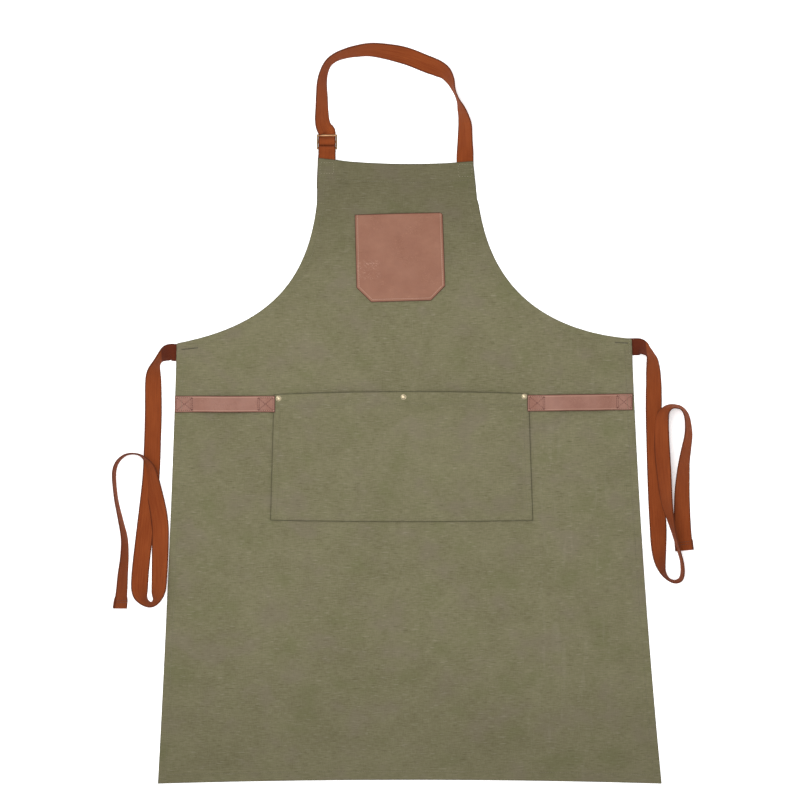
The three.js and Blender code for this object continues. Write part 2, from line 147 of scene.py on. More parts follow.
class Finish:
    """One material, with short ways to add its nodes."""

    def __init__(self, name, roughness, metallic=0.0, sheen=0.0, specular=0.5):
        self.material = bpy.data.materials.new(name)
        self.material.use_nodes = True
        self.tree = self.material.node_tree
        self.shader = self.tree.nodes["Principled BSDF"]
        self.shader.inputs["Roughness"].default_value = roughness
        self.shader.inputs["Metallic"].default_value = metallic
        self.shader.inputs["Sheen Weight"].default_value = sheen
        self.shader.inputs["Specular IOR Level"].default_value = specular
        self.place = self.tree.nodes.new("ShaderNodeTexCoord")

    def node(self, kind, values=None, **settings):
        made = self.tree.nodes.new(kind)
        for name, value in settings.items():
            setattr(made, name, value)
        for socket, value in (values or {}).items():
            if isinstance(value, bpy.types.NodeSocket):
                self.tree.links.new(value, made.inputs[socket])
            else:
                made.inputs[socket].default_value = value
        return made

    def cloudy(self, scale, detail=3.0, roughness=0.55, coordinates="Object"):
        """Noise from 0 to 1, with its own size along each axis."""
        where = self.node("ShaderNodeMapping", {"Vector": self.place.outputs[coordinates], "Scale": scale})
        values = {"Vector": where.outputs[0], "Scale": 1.0, "Detail": detail, "Roughness": roughness}
        return self.node("ShaderNodeTexNoise", values).outputs["Fac"]

    def bands(self, period, direction):
        """A sine wave from 0 to 1 that repeats every period metres."""
        values = {"Vector": self.place.outputs["Object"], "Scale": 2 * math.pi / (20 * period)}
        return self.node("ShaderNodeTexWave", values, bands_direction=direction).outputs["Fac"]

    def sums(self, start, *terms):
        """start plus each value, taken from its middle, times its weight."""
        total = start
        for value, weight in terms:
            middle = {0: value, 1: weight, 2: -0.5 * weight}
            part = self.node("ShaderNodeMath", middle, operation="MULTIPLY_ADD").outputs[0]
            total = self.node("ShaderNodeMath", {0: part, 1: total}, operation="ADD").outputs[0]
        return total

    def times(self, one, other):
        return self.node("ShaderNodeMath", {0: one, 1: other}, operation="MULTIPLY").outputs[0]

    def away(self, value, middle=0.0):
        """How far a value lies from its middle, either way."""
        off = self.node("ShaderNodeMath", {0: value, 1: -middle}, operation="ADD").outputs[0]
        return self.node("ShaderNodeMath", {0: off}, operation="ABSOLUTE").outputs[0]

    def between(self, factor, one, other):
        mix = self.node("ShaderNodeMix", {0: factor, 6: one, 7: other}, data_type="RGBA")
        return mix.outputs[2]

    def tinted(self, colour, mask, weight, other):
        """colour, moved by weight towards the other colour where mask is 1."""
        return self.between(self.times(mask, weight), colour, other)

    def ramp(self, value, start, end):
        """A smooth step from 0 at start to 1 at end."""
        values = {"Value": value, "From Min": start, "From Max": end}
        return self.node("ShaderNodeMapRange", values, interpolation_type="SMOOTHSTEP").outputs[0]

    def part(self, index, coordinates):
        """One coordinate by itself."""
        return self.node("ShaderNodeSeparateXYZ", {0: self.place.outputs[coordinates]}).outputs[index]

    def paint(self, colour):
        self.tree.links.new(colour, self.shader.inputs["Base Color"])

    def gloss(self, value):
        self.tree.links.new(value, self.shader.inputs["Roughness"])

    def raise_by(self, height, distance):
        bump = self.node("ShaderNodeBump", {"Height": height, "Distance": distance, "Strength": 1.0})
        self.tree.links.new(bump.outputs["Normal"], self.shader.inputs["Normal"])


def khaki_canvas():
    """Plain-woven canvas: short slubs, pale and dark flecks, washed-out patches and a painted shadow along
    the rim of each piece.

    It has painted shade towards the bib and, less so, towards the hem, where the light falls off, and paler
    creases run down its right side.

    Its UV runs inwards from the rim of each piece, in metres.
    """
    cloth = Finish("khaki_canvas", roughness=0.93, sheen=0.05, specular=0.2)
    slubs = cloth.cloudy((100, 640, 1), detail=2)
    ends = cloth.cloudy((640, 120, 1), detail=2)
    grain = cloth.cloudy((900, 1100, 1), detail=2)
    patches = cloth.cloudy((6, 7, 1), detail=2)
    mottle = cloth.cloudy((30, 34, 1), detail=3)
    shade = cloth.sums(0.5, (slubs, 0.8), (ends, 0.4), (grain, 0.4), (patches, 0.35), (mottle, 0.4))
    colour = cloth.between(shade, tone(103, 98, 67), tone(152, 147, 116))
    hue = cloth.cloudy((17, 20, 1), detail=3)
    taupe = cloth.ramp(hue, 0.5, 0.68)
    olive = cloth.ramp(hue, 0.46, 0.3)
    colour = cloth.tinted(colour, taupe, 0.42, tone(135, 124, 107))
    colour = cloth.tinted(colour, olive, 0.42, tone(118, 119, 80))
    flecks = cloth.cloudy((74, 520, 1), detail=1)
    dashes = cloth.ramp(flecks, 0.62, 0.74)
    specks = cloth.ramp(cloth.cloudy((520, 520, 1), detail=1), 0.7, 0.78)
    creases = cloth.ramp(cloth.cloudy((105, 14, 1), detail=3), 0.5, 0.7)
    across, height = cloth.part(0, "Object"), cloth.part(1, "Object")
    worn_side = cloth.times(cloth.ramp(across, 0.13, 0.19), cloth.ramp(across, 0.31, 0.26))
    pale = cloth.sums(0.295, (dashes, 0.34), (specks, 0.2), (cloth.times(creases, worn_side), 0.13))
    colour = cloth.between(pale, colour, tone(172, 166, 146))
    colour = cloth.tinted(colour, cloth.ramp(flecks, 0.36, 0.26), 0.4, tone(88, 84, 56))
    # painted shade: darker towards the bib and the hem, where the light falls off
    for start, end, weight in ((0.15, 0.33, 0.3), (-0.26, -0.5, 0.17)):
        colour = cloth.tinted(colour, cloth.ramp(height, start, end), weight, tone(78, 70, 50))
    # painted shadow: a dark line along the rim of every canvas piece, where shade falls at its edge
    rim = cloth.ramp(cloth.part(0, "UV"), 0.0013, 0.0004)
    cloth.paint(cloth.tinted(colour, rim, 0.55, tone(62, 58, 36)))
    weft = cloth.bands(0.00094, "Y")
    warp = cloth.bands(0.00086, "X")
    weave = cloth.sums(0.5, (cloth.times(weft, warp), 1.0), (slubs, 0.9), (ends, 0.4), (grain, 0.5))
    cloth.raise_by(weave, 0.00022)
    return cloth.material


def rust_webbing():
    """Flat cotton webbing: rows of warp ends lying over the picks, with painted shade along both edges and
    where each tie comes out from behind the waist corner.

    Its UV runs across the strap from its middle, and along it, in metres.
    """
    strap = Finish("rust_webbing", roughness=0.88, sheen=0.02, specular=0.12)
    turned = strap.node("ShaderNodeCombineXYZ", {0: strap.part(1, "UV"), 1: strap.part(0, "UV")})
    ends = strap.node(
        "ShaderNodeTexBrick",
        {"Vector": turned.outputs[0], "Scale": 1.0, "Mortar Size": 0.00026, "Mortar Smooth": 1.0,
         "Brick Width": 0.0026, "Row Height": 0.0011, "Color1": (1, 1, 1, 1), "Color2": (0.75, 0.75, 0.75, 1),
         "Mortar": (0, 0, 0, 1)},
        offset=0.5)
    streaks = strap.cloudy((900, 22, 1), detail=3, coordinates="UV")
    patches = strap.cloudy((50, 16, 1), detail=3, coordinates="UV")
    fuzz = strap.cloudy((2200, 2200, 2200), detail=2)
    shade = strap.sums(0.5, (streaks, 0.9), (patches, 0.7), (fuzz, 0.6), (ends.outputs["Fac"], -0.35))
    colour = strap.between(shade, tone(120, 46, 13), tone(176, 90, 43))
    # painted shade: the first 30 mm of each tie, from the canvas edge out to its fold, is darkened as if in
    # shadow
    aside = strap.away(strap.part(0, "Object"), -0.008)
    exit_shade = strap.times(strap.ramp(strap.part(1, "UV"), 0.036, 0.03), strap.ramp(aside, 0.338, 0.336))
    # painted shade: a dark line along both edges of the strap, broken up by the fuzz, standing in for the
    # shadow between strands
    off = strap.away(strap.part(0, "UV"))
    edge_shade = strap.times(strap.ramp(off, 0.0097, 0.0113), strap.ramp(fuzz, 0.68, 0.58))
    colour = strap.tinted(colour, edge_shade, 0.75, tone(74, 30, 16))
    strap.paint(strap.tinted(colour, exit_shade, 0.8, tone(92, 36, 22)))
    height = strap.sums(0.5, (ends.outputs["Color"], 1.0), (fuzz, 0.4), (streaks, 0.3))
    strap.raise_by(height, 0.00028)
    return strap.material


def rosy_leather(name, dark, light, shine, line, rubbed=None):
    """Smooth tanned leather: fine pores, faint creases, a dark painted rim and a pressed pale line.

    Its UV runs inwards, in metres: first from the nearest rim, then from the nearest sewn rim.
    rubbed is the middle of a spot where the surface is scratched and finely wrinkled.
    """
    hide = Finish(name, roughness=shine, specular=0.3)
    pores = hide.node("ShaderNodeTexVoronoi", {"Vector": hide.place.outputs["Object"], "Scale": 950.0})
    creases = hide.cloudy((90, 140, 1), detail=6, roughness=0.7)
    folds = hide.away(hide.cloudy((80, 190, 1), detail=3), 0.5)
    folded = hide.ramp(hide.cloudy((30, 30, 1), detail=1), 0.5, 0.6)
    wrinkles = hide.times(hide.ramp(folds, 0.02, 0.0), folded)
    patches = hide.cloudy((28, 24, 1), detail=3)
    grain = hide.cloudy((1300, 1300, 1), detail=2)
    shade = hide.sums(0.5, (patches, 0.9), (creases, 0.6), (grain, 0.25), (wrinkles, 0.5))
    colour = hide.between(shade, dark, light)
    sewn = hide.part(1, "UV")
    pressed = hide.times(hide.ramp(sewn, line - 0.0007, line), hide.ramp(sewn, line + 0.0007, line))
    colour = hide.tinted(colour, pressed, 0.55, tone(206, 166, 142))
    if rubbed:
        spot = 1.0
        for axis, reach in ((0, 0.02), (1, 0.016)):
            off = hide.away(hide.part(axis, "Object"), rubbed[axis])
            spot = hide.times(spot, hide.ramp(off, reach, reach * 0.6))
        bent = hide.away(hide.cloudy((110, 240, 1), detail=2), 0.5)
        scratches = hide.times(spot, hide.ramp(bent, 0.016, 0.004))
        colour = hide.tinted(colour, scratches, 0.5, tone(212, 168, 146))
        edges = hide.times(spot, hide.times(hide.ramp(bent, 0.016, 0.024), hide.ramp(bent, 0.036, 0.026)))
        colour = hide.tinted(colour, edges, 0.35, tone(116, 70, 52))
    painted = hide.ramp(hide.part(0, "UV"), 0.0009, 0.0005)
    hide.paint(hide.tinted(colour, painted, 0.8, tone(84, 50, 36)))
    hide.gloss(hide.sums(shine, (creases, 0.25), (grain, 0.15)))
    height = hide.sums(0.5, (pores.outputs["Distance"], 0.35), (creases, 1.0), (grain, 0.3), (wrinkles, -0.9))
    hide.raise_by(height, 0.00016)
    return hide.material


def worn_brass(name, dark, light, roughness, dull_from=None):
    """Tarnished brass; past dull_from, a middle and a distance along X, it is dull and olive."""
    metal = Finish(name, roughness=roughness, metallic=1.0)
    tarnish = metal.cloudy((300, 300, 300), detail=4)
    scuffs = metal.cloudy((2600, 500, 900), detail=3)
    colour = metal.between(metal.sums(0.5, (tarnish, 1.1), (scuffs, 0.5)), dark, light)
    if dull_from:
        middle, reach = dull_from
        dull = metal.ramp(metal.away(metal.part(0, "Object"), middle), reach - 0.0006, reach)
        colour = metal.tinted(colour, dull, 0.8, tone(92, 78, 50, light=1))
    metal.paint(colour)
    metal.gloss(metal.sums(roughness, (scuffs, 0.2), (tarnish, 0.15)))
    metal.raise_by(scuffs, 0.00003)
    return metal.material


def sewing_thread(name, dark, light):
    thread = Finish(name, roughness=0.7, sheen=0.1)
    twist = thread.cloudy((900, 900, 900), detail=3)
    thread.paint(thread.between(thread.sums(0.5, (twist, 1.3)), dark, light))
    thread.raise_by(twist, 0.0001)
    return thread.material


KHAKI = khaki_canvas()
RUST = rust_webbing()
POCKET_HIDE = rosy_leather("chest_pocket_leather", tone(146, 94, 71), tone(176, 126, 102), 0.6, 0.0033,
                           rubbed=(-0.058, 0.2))
BAND_HIDE = rosy_leather("towel_band_leather", tone(146, 96, 79), tone(180, 132, 114), 0.5, 0.0021)
PALE_BRASS = worn_brass("pale_brass", tone(140, 127, 100, light=1), tone(190, 177, 150, light=1), 0.42)
OLD_BRASS = worn_brass("old_brass", tone(126, 88, 58, light=1), tone(190, 150, 112, light=1), 0.36,
                       dull_from=(-0.1153, 0.0128))
OLIVE_THREAD = sewing_thread("olive_thread", tone(104, 99, 72), tone(142, 137, 108))
PALE_THREAD = sewing_thread("pale_olive_thread", tone(146, 140, 112), tone(182, 176, 150))
BARTACK_THREAD = sewing_thread("bartack_thread", tone(70, 64, 44), tone(96, 90, 66))
RUST_THREAD = sewing_thread("dark_rust_thread", tone(92, 40, 28), tone(122, 60, 44))
ROSE_THREAD = sewing_thread("rose_thread", tone(164, 118, 98), tone(204, 162, 140))
# dark brown thread for the ties' tips: real stitches, darkened to paint the shade of the step where each tip
# is turned back
TIP_SHADE_THREAD = sewing_thread("tip_shade_brown_thread", tone(66, 28, 16), tone(92, 44, 24))


# ---------------------------------------------------------------- shared makers

def smooth(low, high, value):
    """A smooth step from 0 at low to 1 at high."""
    t = np.clip((value - low) / (high - low), 0, 1)
    return t * t * (3 - 2 * t)


def lengths(points):
    """How far along a line of points each one lies."""
    steps = np.linalg.norm(np.diff(points, axis=0), axis=1)
    return np.concatenate([[0], np.cumsum(steps)])


def unit(vectors):
    """The same directions, each one long."""
    return vectors / np.linalg.norm(vectors, axis=1)[:, None]


def waves(values, length, seed):
    """Smooth noise from -1 to 1 along a row of values."""
    return np.array([noise.noise(Vector((v / length, seed, 0.3))) for v in values.tolist()])


def ridge(distance, width):
    """A rounded ridge, 1 at its middle."""
    return np.exp(-(distance / width) ** 2)


def finished(bm, name, material, body, replaces=(), sharp=None):
    """Turns a shape in millimetres into a piece at its place, riding on its body if it rides on one."""
    bmesh.ops.scale(bm, vec=(MM, MM, MM), verts=bm.verts)
    for face in bm.faces:
        face.smooth = True
    mesh = bpy.data.meshes.new(name)
    bm.to_mesh(mesh)
    bm.free()
    if sharp is not None:
        mesh.set_sharp_from_angle(angle=math.radians(sharp))
    mesh.materials.append(material)
    piece = bpy.data.objects.new(name, mesh)
    bpy.context.scene.collection.objects.link(piece)
    if body is not None:
        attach(piece, body)
    if replaces:
        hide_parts(*replaces)
    return piece


def grid_points(bm, columns, rows):
    """A new grid in bm. Gives its vertices, and the column and row value of each one."""
    nx, ny = len(columns) - 1, len(rows) - 1
    made = bmesh.ops.create_grid(bm, x_segments=nx, y_segments=ny, size=0.5)["verts"]
    spots = np.array([v.co for v in made])
    i = np.rint((spots[:, 0] + 0.5) * nx).astype(int)
    j = np.rint((spots[:, 1] + 0.5) * ny).astype(int)
    return made, np.asarray(columns)[i], np.asarray(rows)[j]


def put(vertices, places):
    """Moves each vertex to its place."""
    for vertex, place in zip(vertices, places.tolist()):
        vertex.co = place


def cloth_piece(columns, rows, front, back, rim):
    """A closed sheet, its rim rounded outwards by rim.

    front gives the places of its upper face, and how far in each one lies from the nearest rim and, where
    that differs, from the nearest sewn rim; back gives the places of its lower face.
    """
    bm = bmesh.new()
    uv = bm.loops.layers.uv.verify()
    depths = [bm.verts.layers.float.new(name) for name in ("from_rim", "from_sewn_rim")]
    upper, u, v = grid_points(bm, columns, rows)
    top, *inwards = front(u, v)
    put(upper, top)
    lower, u, v = grid_points(bm, columns, rows)
    put(lower, back(u, v, top))
    for depth, values in zip(depths, (inwards[0], inwards[-1])):
        for vertex, value in zip(upper + lower, np.tile(values * MM, 2).tolist()):
            vertex[depth] = value
    bmesh.ops.bridge_loops(bm, edges=[e for e in bm.edges if e.is_boundary])
    on_top = set(upper)
    sides = [e for e in bm.edges if (e.verts[0] in on_top) != (e.verts[1] in on_top)]
    bmesh.ops.recalc_face_normals(bm, faces=bm.faces)
    middles = bmesh.ops.subdivide_edges(bm, edges=sides, cuts=1)["geom_inner"]
    bm.normal_update()
    for vertex in [g for g in middles if isinstance(g, bmesh.types.BMVert)]:
        outward = Vector((vertex.normal.x, vertex.normal.y, 0))
        if outward.length > 0.1:
            vertex.co += outward.normalized() * rim
    for face in bm.faces:
        for loop in face.loops:
            loop[uv].uv = [loop.vert[depth] for depth in depths]
    return bm


class Surface:
    """What lies on top at a place, found by looking straight down on the pieces made so far."""

    def __init__(self):
        self.trees = []

    def add(self, bm):
        self.trees.append(BVHTree.FromBMesh(bm))

    def height(self, x, y, otherwise=0.0):
        start, down = Vector((x, y, 100)), Vector((0, 0, -1))
        found = [tree.ray_cast(start, down)[0] for tree in self.trees]
        return max([p.z for p in found if p is not None], default=otherwise)

    def heights(self, xy, otherwise=0.0):
        return np.array([self.height(x, y, otherwise) for x, y in np.asarray(xy)[:, :2].tolist()])


def along(points, spacing):
    """Places on a line of points at even spacing."""
    points = np.asarray(points, float)
    reach = lengths(points)
    at = np.linspace(0, reach[-1], max(2, int(round(reach[-1] / spacing)) + 1))
    return np.stack([np.interp(at, reach, points[:, k]) for k in range(points.shape[1])], axis=1)


def stitch(bm, start, end, width):
    """One stitch, a slim bead of thread between two places."""
    start, end = Vector(start), Vector(end)
    heading = end - start
    turn = heading.to_track_quat("X", "Z").to_matrix().to_4x4()
    size = Matrix.Diagonal((heading.length / 2, width / 2, width * 0.4, 1))
    place = Matrix.Translation((start + end) / 2)
    bmesh.ops.create_icosphere(bm, subdivisions=1, radius=1, matrix=place @ turn @ size)


def sew(bm, line, surface, pitch=3.4, length=2.7, width=0.55, proud=0.12):
    """A row of stitches along a line of x and y, lying on a surface."""
    line = along(line, 0.5)
    reach = lengths(line)
    count = max(1, int(reach[-1] / pitch))
    space = reach[-1] / count
    for k in range(count):
        at = (k + 0.5) * space + np.array([-0.5, 0.5]) * length
        ends = np.stack([np.interp(at, reach, line[:, 0]), np.interp(at, reach, line[:, 1])], axis=1)
        z = surface.heights(ends) + proud
        stitch(bm, (*ends[0], z[0]), (*ends[1], z[1]), width)


# ---------------------------------------------------------------- webbing straps

def through(rows, s):
    """A smooth curve through rows of numbers, taken at s, counted in rows."""
    rows, s = np.asarray(rows, float), np.asarray(s, float)
    last = len(rows) - 1
    i = np.clip(np.floor(s).astype(int), 0, last - 1)
    f = (s - i)[:, None]
    a, b, c, d = (rows[np.clip(i + k, 0, last)] for k in (-1, 0, 1, 2))
    return b + 0.5 * f * (c - a + f * (2 * a - 5 * b + 4 * c - d + f * (3 * (b - c) + d - a)))


def resting(stations, s, room=0.0):
    """Middle and lean of a strap that rests on its lower edge, at each s."""
    x, y, degrees, base = through(stations, s).T
    lean = np.radians(degrees)
    z = base + room + WEBBING / 2 * np.abs(np.sin(lean)) + LAYER / 2 * np.cos(lean)
    return np.stack([x, y, z], axis=1), lean


def web_profile():
    """The webbing's section, closed: flat faces, slightly thicker selvedges and rounded edges."""
    half, face = WEBBING / 2, LAYER / 2
    turn = [(x, face + (0.05 if abs(x) > 9 else 0.0)) for x in np.linspace(half - 0.7, 0.7 - half, 11)]
    turn += [(0.2 - half, 0.45), (-half, 0.0), (0.2 - half, -0.45)]
    return np.array(turn + [(-x, -h) for x, h in turn] + turn[:1])


def web_axes(heading, lean, side=None):
    """Directions across the webbing and out of its face where it runs along heading.

    It leans up from lying flat, or turns about side where that is given.
    """
    count = len(heading)
    if side is None:
        right = unit(np.stack([heading[:, 1], -heading[:, 0], np.zeros(count)], axis=1))
        up = np.tile([0.0, 0.0, 1.0], (count, 1))
    else:
        right = np.tile(np.asarray(side, float), (count, 1))
        up = np.cross(right, heading)
    across = right * np.cos(lean)[:, None] + up * np.sin(lean)[:, None]
    return across, unit(np.cross(across, heading))


def webbing(middles, lean, side=None, doubled=None, start=1000.0, seed=0.0):
    """Sweeps the webbing's section along its middle line, with the weave's coordinates on it.

    doubled runs from 0 to 1 where the end is turned back; start is the length that the coordinates begin at.
    """
    bm, count, shape = bmesh.new(), len(middles), web_profile()
    across, out = web_axes(unit(np.gradient(middles, axis=0)), lean, side)
    reach = lengths(middles)
    doubled = np.zeros(count) if doubled is None else doubled
    wander = np.array([noise.noise(Vector((r / 42, seed, 0))) for r in reach]) * 0.18
    vertices, i, j = grid_points(bm, np.arange(len(shape)), np.arange(count))
    a = shape[i, 0] * (1 + 0.09 * doubled[j]) + wander[j]
    h = shape[i, 1] * (1 + doubled[j])
    put(vertices, middles[j] + across[j] * a[:, None] + out[j] * h[:, None])
    uv = bm.loops.layers.uv.verify()
    for k, vertex in enumerate(vertices):
        for loop in vertex.link_loops:
            loop[uv].uv = (a[k] * MM, (start + reach[j[k]]) * MM)
    bmesh.ops.remove_doubles(bm, verts=vertices, dist=1e-4)
    bmesh.ops.holes_fill(bm, edges=[e for e in bm.edges if e.is_boundary], sides=0)
    bmesh.ops.recalc_face_normals(bm, faces=bm.faces)
    return bm


# Stations along each strap: x and y of its middle, its lean in degrees from lying flat, and the height of
# what its lower edge rests on.
LEFT_TIE = [
    (-327.5, 85, 0, 0), (-334.5, 85, 10, 0), (-341.2, 81, 42, 0), (-347.5, 76, 66, 0), (-352, 69.5, 68, 0),
    (-355.5, 59, 46, 0), (-357, 44, 26, 0), (-357, 5, 16, 0), (-358, -37, 18, 0), (-360, -85, 14, 0),
    (-364, -122, 8, 0), (-369, -162, 0, 0), (-374, -205, 0, 0), (-376, -230, 8, 0), (-375.5, -248, 28, 0),
    (-370, -260, 64, 0), (-361, -265.5, 78, 0), (-353.5, -261, 64, 0), (-350, -248, 32, 0),
    (-348.5, -227, 19, 0), (-347.5, -171, 4, 0), (-349, -144, 4, 1.7), (-354, -116, 14, 1.7),
    (-359, -91, 27, 1.7), (-362, -74, 48, 1.7), (-368, -63, 73, 1.7), (-377, -57, 83, 0.6),
    (-389, -56, 86, 0), (-399, -60, 86, 0), (-407.5, -70, 85, 0), (-410.8, -86, 85, 0), (-408, -118, 86, 0),
    (-401.5, -149, 82, 0), (-396.5, -174, 75, 0), (-396.5, -200, 68, 0), (-398.8, -224, 61, 0.1),
    (-400.5, -248, 56, 0.3), (-403, -271, 50, 0.7),
]
RIGHT_TIE = [
    (311.5, 93, 0, 0), (319, 93, 4, 0), (324.2, 91.6, 28, 0), (328.6, 88.2, 47, 0), (332, 85, 56, 0),
    (334.8, 80.6, 55, 0), (336.8, 75, 44, 0), (337.9, 69, 37, 0), (338.9, 57, 27, 0), (339.7, 40.4, 20, 0),
    (339.8, 25, 15, 0), (340, -10, 14, 0), (342, -58, 4, 0), (344, -115, 2, 0), (346, -158, 6, 0),
    (346.5, -185, 22, 0), (348, -205, 42, 0), (352, -220, 66, 0), (359.5, -230, 81, 0), (368, -233.5, 84, 0),
    (376, -230.5, 85, 0), (379, -221, 85, 0), (378, -206, 86, 0), (374, -191, 86, 0), (367.5, -168, 83, 0.4),
    (362, -146, 72, 1.4), (357, -122, 55, 1.7), (354, -90, 42, 1.7), (351, -50, 33, 1.7), (350, -22, 37, 1.7),
    (351, -5, 48, 1.7), (355, 4, 64, 1.7), (361, 9, 74, 1), (369, 10, 78, 0), (378, 7, 76, 0),
    (384.5, -3, 68, 0), (387, -18, 62, 0), (387, -32, 56, 0), (384.5, -48, 50, 0), (381.5, -68, 43, 0),
    (379.7, -93, 30, 0), (379, -120, 18, 0), (380, -158, 5, 0.4), (383, -191, 0, 0.7),
]
NECK_STRAP = [
    (77, 357.2, 0, 0), (77, 370, 22, 0), (77, 386, 32, 0), (77, 399, 38, 0), (75.6, 408, 48, 0),
    (73.6, 416.6, 59, 0), (70.8, 425, 69, 0), (68, 433, 82, 0), (64.5, 442, 87, 0), (61, 451, 82, 0),
    (56.5, 463, 65, 0), (49, 473.8, 46, 0), (38, 480.8, 25, 0), (22, 487.5, 9, 0), (-3, 497.5, 8, 0),
    (-29, 503, 32, 0), (-55, 505.8, 48, 0), (-76, 503.3, 58, 0), (-90, 500, 65, 0), (-103, 495, 70, 0),
    (-113, 487, 71, 0), (-119, 475, 66, 0), (-122, 460, 58, 0), (-122.2, 442, 50, 0), (-122.2, 425, 45, 0),
    (-122, 411, 36, 0), (-120.9, 403, 29, 0), (-118.6, 397, 19, 0),
    (-115.9, 393.2, 7, 0.2), (-115.3, 391, 0, 0.4),
]
# Round the slider's middle bar, and the tail behind it: y and z from the bottom bar, then x, y and z.
BEND = [
    (21.4, -3.9), (18.6, -3.9), (15.8, -3.1), (13.6, -0.9), (12, 0.8), (9.4, 1.5), (6.8, 0.8), (5.6, -0.7),
]
TAIL = [
    (-115.3, 374.2, 3.3), (-115.3, 372.8, 1.7), (-115.3, 370, 0.9), (-115.6, 362, 0.75), (-116.6, 345, 0.75),
    (-117.5, 328, 0.75), (-117.9, 313.5, 0.75),
]
TIP_HEM = 14.0                # a tie's end, turned back and sewn double
SEWN_END = 28.8               # how far a tie runs in behind the waist corner
SPLIT = 8                     # station where the neck strap stands on edge, between its two pieces


def flat_run(x, y):
    """A line that lies flat under the canvas."""
    x, y = np.broadcast_arrays(x, y)
    return np.stack([x, y, np.full(len(x), LAYER / 2)], axis=1)


def waist_tie(side, stations, seed):
    """One waist tie, from behind the waist corner to its doubled tip."""
    last = len(stations) - 1
    s = np.linspace(0, last, last * 9 + 1)
    middles, lean = resting(stations, s, room=0.2)
    reach = lengths(middles)
    doubled = smooth(reach[-1] - TIP_HEM - 1.2, reach[-1] - TIP_HEM, reach)
    bm = webbing(middles, lean, doubled=doubled, start=0.0, seed=seed)
    tie = finished(bm, f"tie_{side}", RUST, "apron", [f"waist_tie_{side}"], sharp=50)

    inward = 1 if side == "left" else -1
    edge_x, y = stations[0][:2]
    x = edge_x + inward * np.linspace(-1.5, SEWN_END, 8)
    bm = webbing(flat_run(x, y), np.zeros(8), start=0.0, seed=seed)
    sewn = finished(bm, f"tie_{side}_sewn_end", RUST, "apron", [f"waist_tie_{side}_sewn_end"], 50)

    seam = bmesh.new()
    # two rows of stitches where the tip starts to double: real stitching, made dark to paint the shade of
    # that step
    for back in (TIP_HEM - 1.6, TIP_HEM - 3.4):
        at = min(np.searchsorted(reach, reach[-1] - back), len(reach) - 2)
        across, out = web_axes(unit(np.diff(middles[at:at + 2], axis=0)), lean[at:at + 1])
        for face in (1.55, -1.55):
            for a in np.arange(-11, 10, 3.0):
                start = middles[at] + across[0] * a + out[0] * face
                stitch(seam, start, start + across[0] * 2.5, 0.9)
    tip = finished(seam, f"tie_{side}_tip_stitches", TIP_SHADE_THREAD, "apron")
    length = float(reach[-1]) * MM
    return length


TIE_LENGTHS = [waist_tie("left", LEFT_TIE, 3.0), waist_tie("right", RIGHT_TIE, 8.0)]


def neck_strap():
    """The neck strap in three pieces: its sewn leg, its leg through the slider, and its tail."""
    sewn = flat_run(RIGHT_LEG_X, np.linspace(323.4, 355.6, 14))
    loop, lean = resting(NECK_STRAP, np.linspace(0, SPLIT, 100))
    bm = webbing(np.vstack([sewn, loop]), np.concatenate([np.zeros(14), lean]), seed=1.0)
    right = finished(bm, "neck_strap_right_leg", RUST, None,
                     ["neck_strap", "neck_strap_sewn_end"], 50)
    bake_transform(right)

    last = len(NECK_STRAP) - 1
    loop, lean = resting(NECK_STRAP, np.linspace(SPLIT, last, 210))
    bend = through(BEND, np.linspace(0, len(BEND) - 1, 64))[3:] + BOTTOM_BAR
    over = np.insert(bend, 0, LEFT_LEG_X, axis=1)
    bm = webbing(np.vstack([loop, over]), np.concatenate([lean, np.zeros(len(over))]), seed=2.0)
    left = finished(bm, "neck_strap_left_leg", RUST, None, ["neck_strap_bend"], 50)
    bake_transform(left)

    hang = through(TAIL, np.linspace(0, len(TAIL) - 1, 60))
    bm = webbing(hang, np.zeros(60), seed=4.0)
    tail = finished(bm, "neck_strap_end", RUST, None, ["neck_strap_tail"], 50)
    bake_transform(tail)


def anchor_loop():
    """Short webbing doubled round the slider's bottom bar, both ends sewn behind the bib."""
    bar_y, bar_z = BOTTOM_BAR
    radius = 1.9 + LAYER / 2
    turn = np.linspace(1, -1, 22) * math.pi * 0.56
    around = np.stack([bar_y + radius * np.cos(turn), bar_z + radius * np.sin(turn)], axis=1)
    start_y, turn_y = LEFT_HINGE_Y + 0.5, bar_y - 3.6
    sewn_y, over, under = 327.6, 4.1, 2.4
    front = [(y, over) for y in np.linspace(sewn_y, start_y, 12)]
    front += [(start_y + (turn_y - start_y) * t, over + 1.9 * smooth(0, 1, t)) for t in (0.3, 0.6, 0.9)]
    back = [(start_y + (turn_y - start_y) * t, under + 0.15 * t) for t in (0.9, 0.5)]
    back += [(y, under) for y in np.linspace(start_y, sewn_y, 12)]
    yz = np.vstack([front, around, back])
    middles = np.insert(yz, 0, LEFT_LEG_X, axis=1)
    bm = webbing(middles, np.zeros(len(yz)), side=(1, 0, 0), seed=6.0)
    loop = finished(bm, "anchor_webbing", RUST, None, ["anchor_loop", "anchor_loop_sewn_end"], 60)
    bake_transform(loop)


neck_strap()
anchor_loop()


# ---------------------------------------------------------------- slider

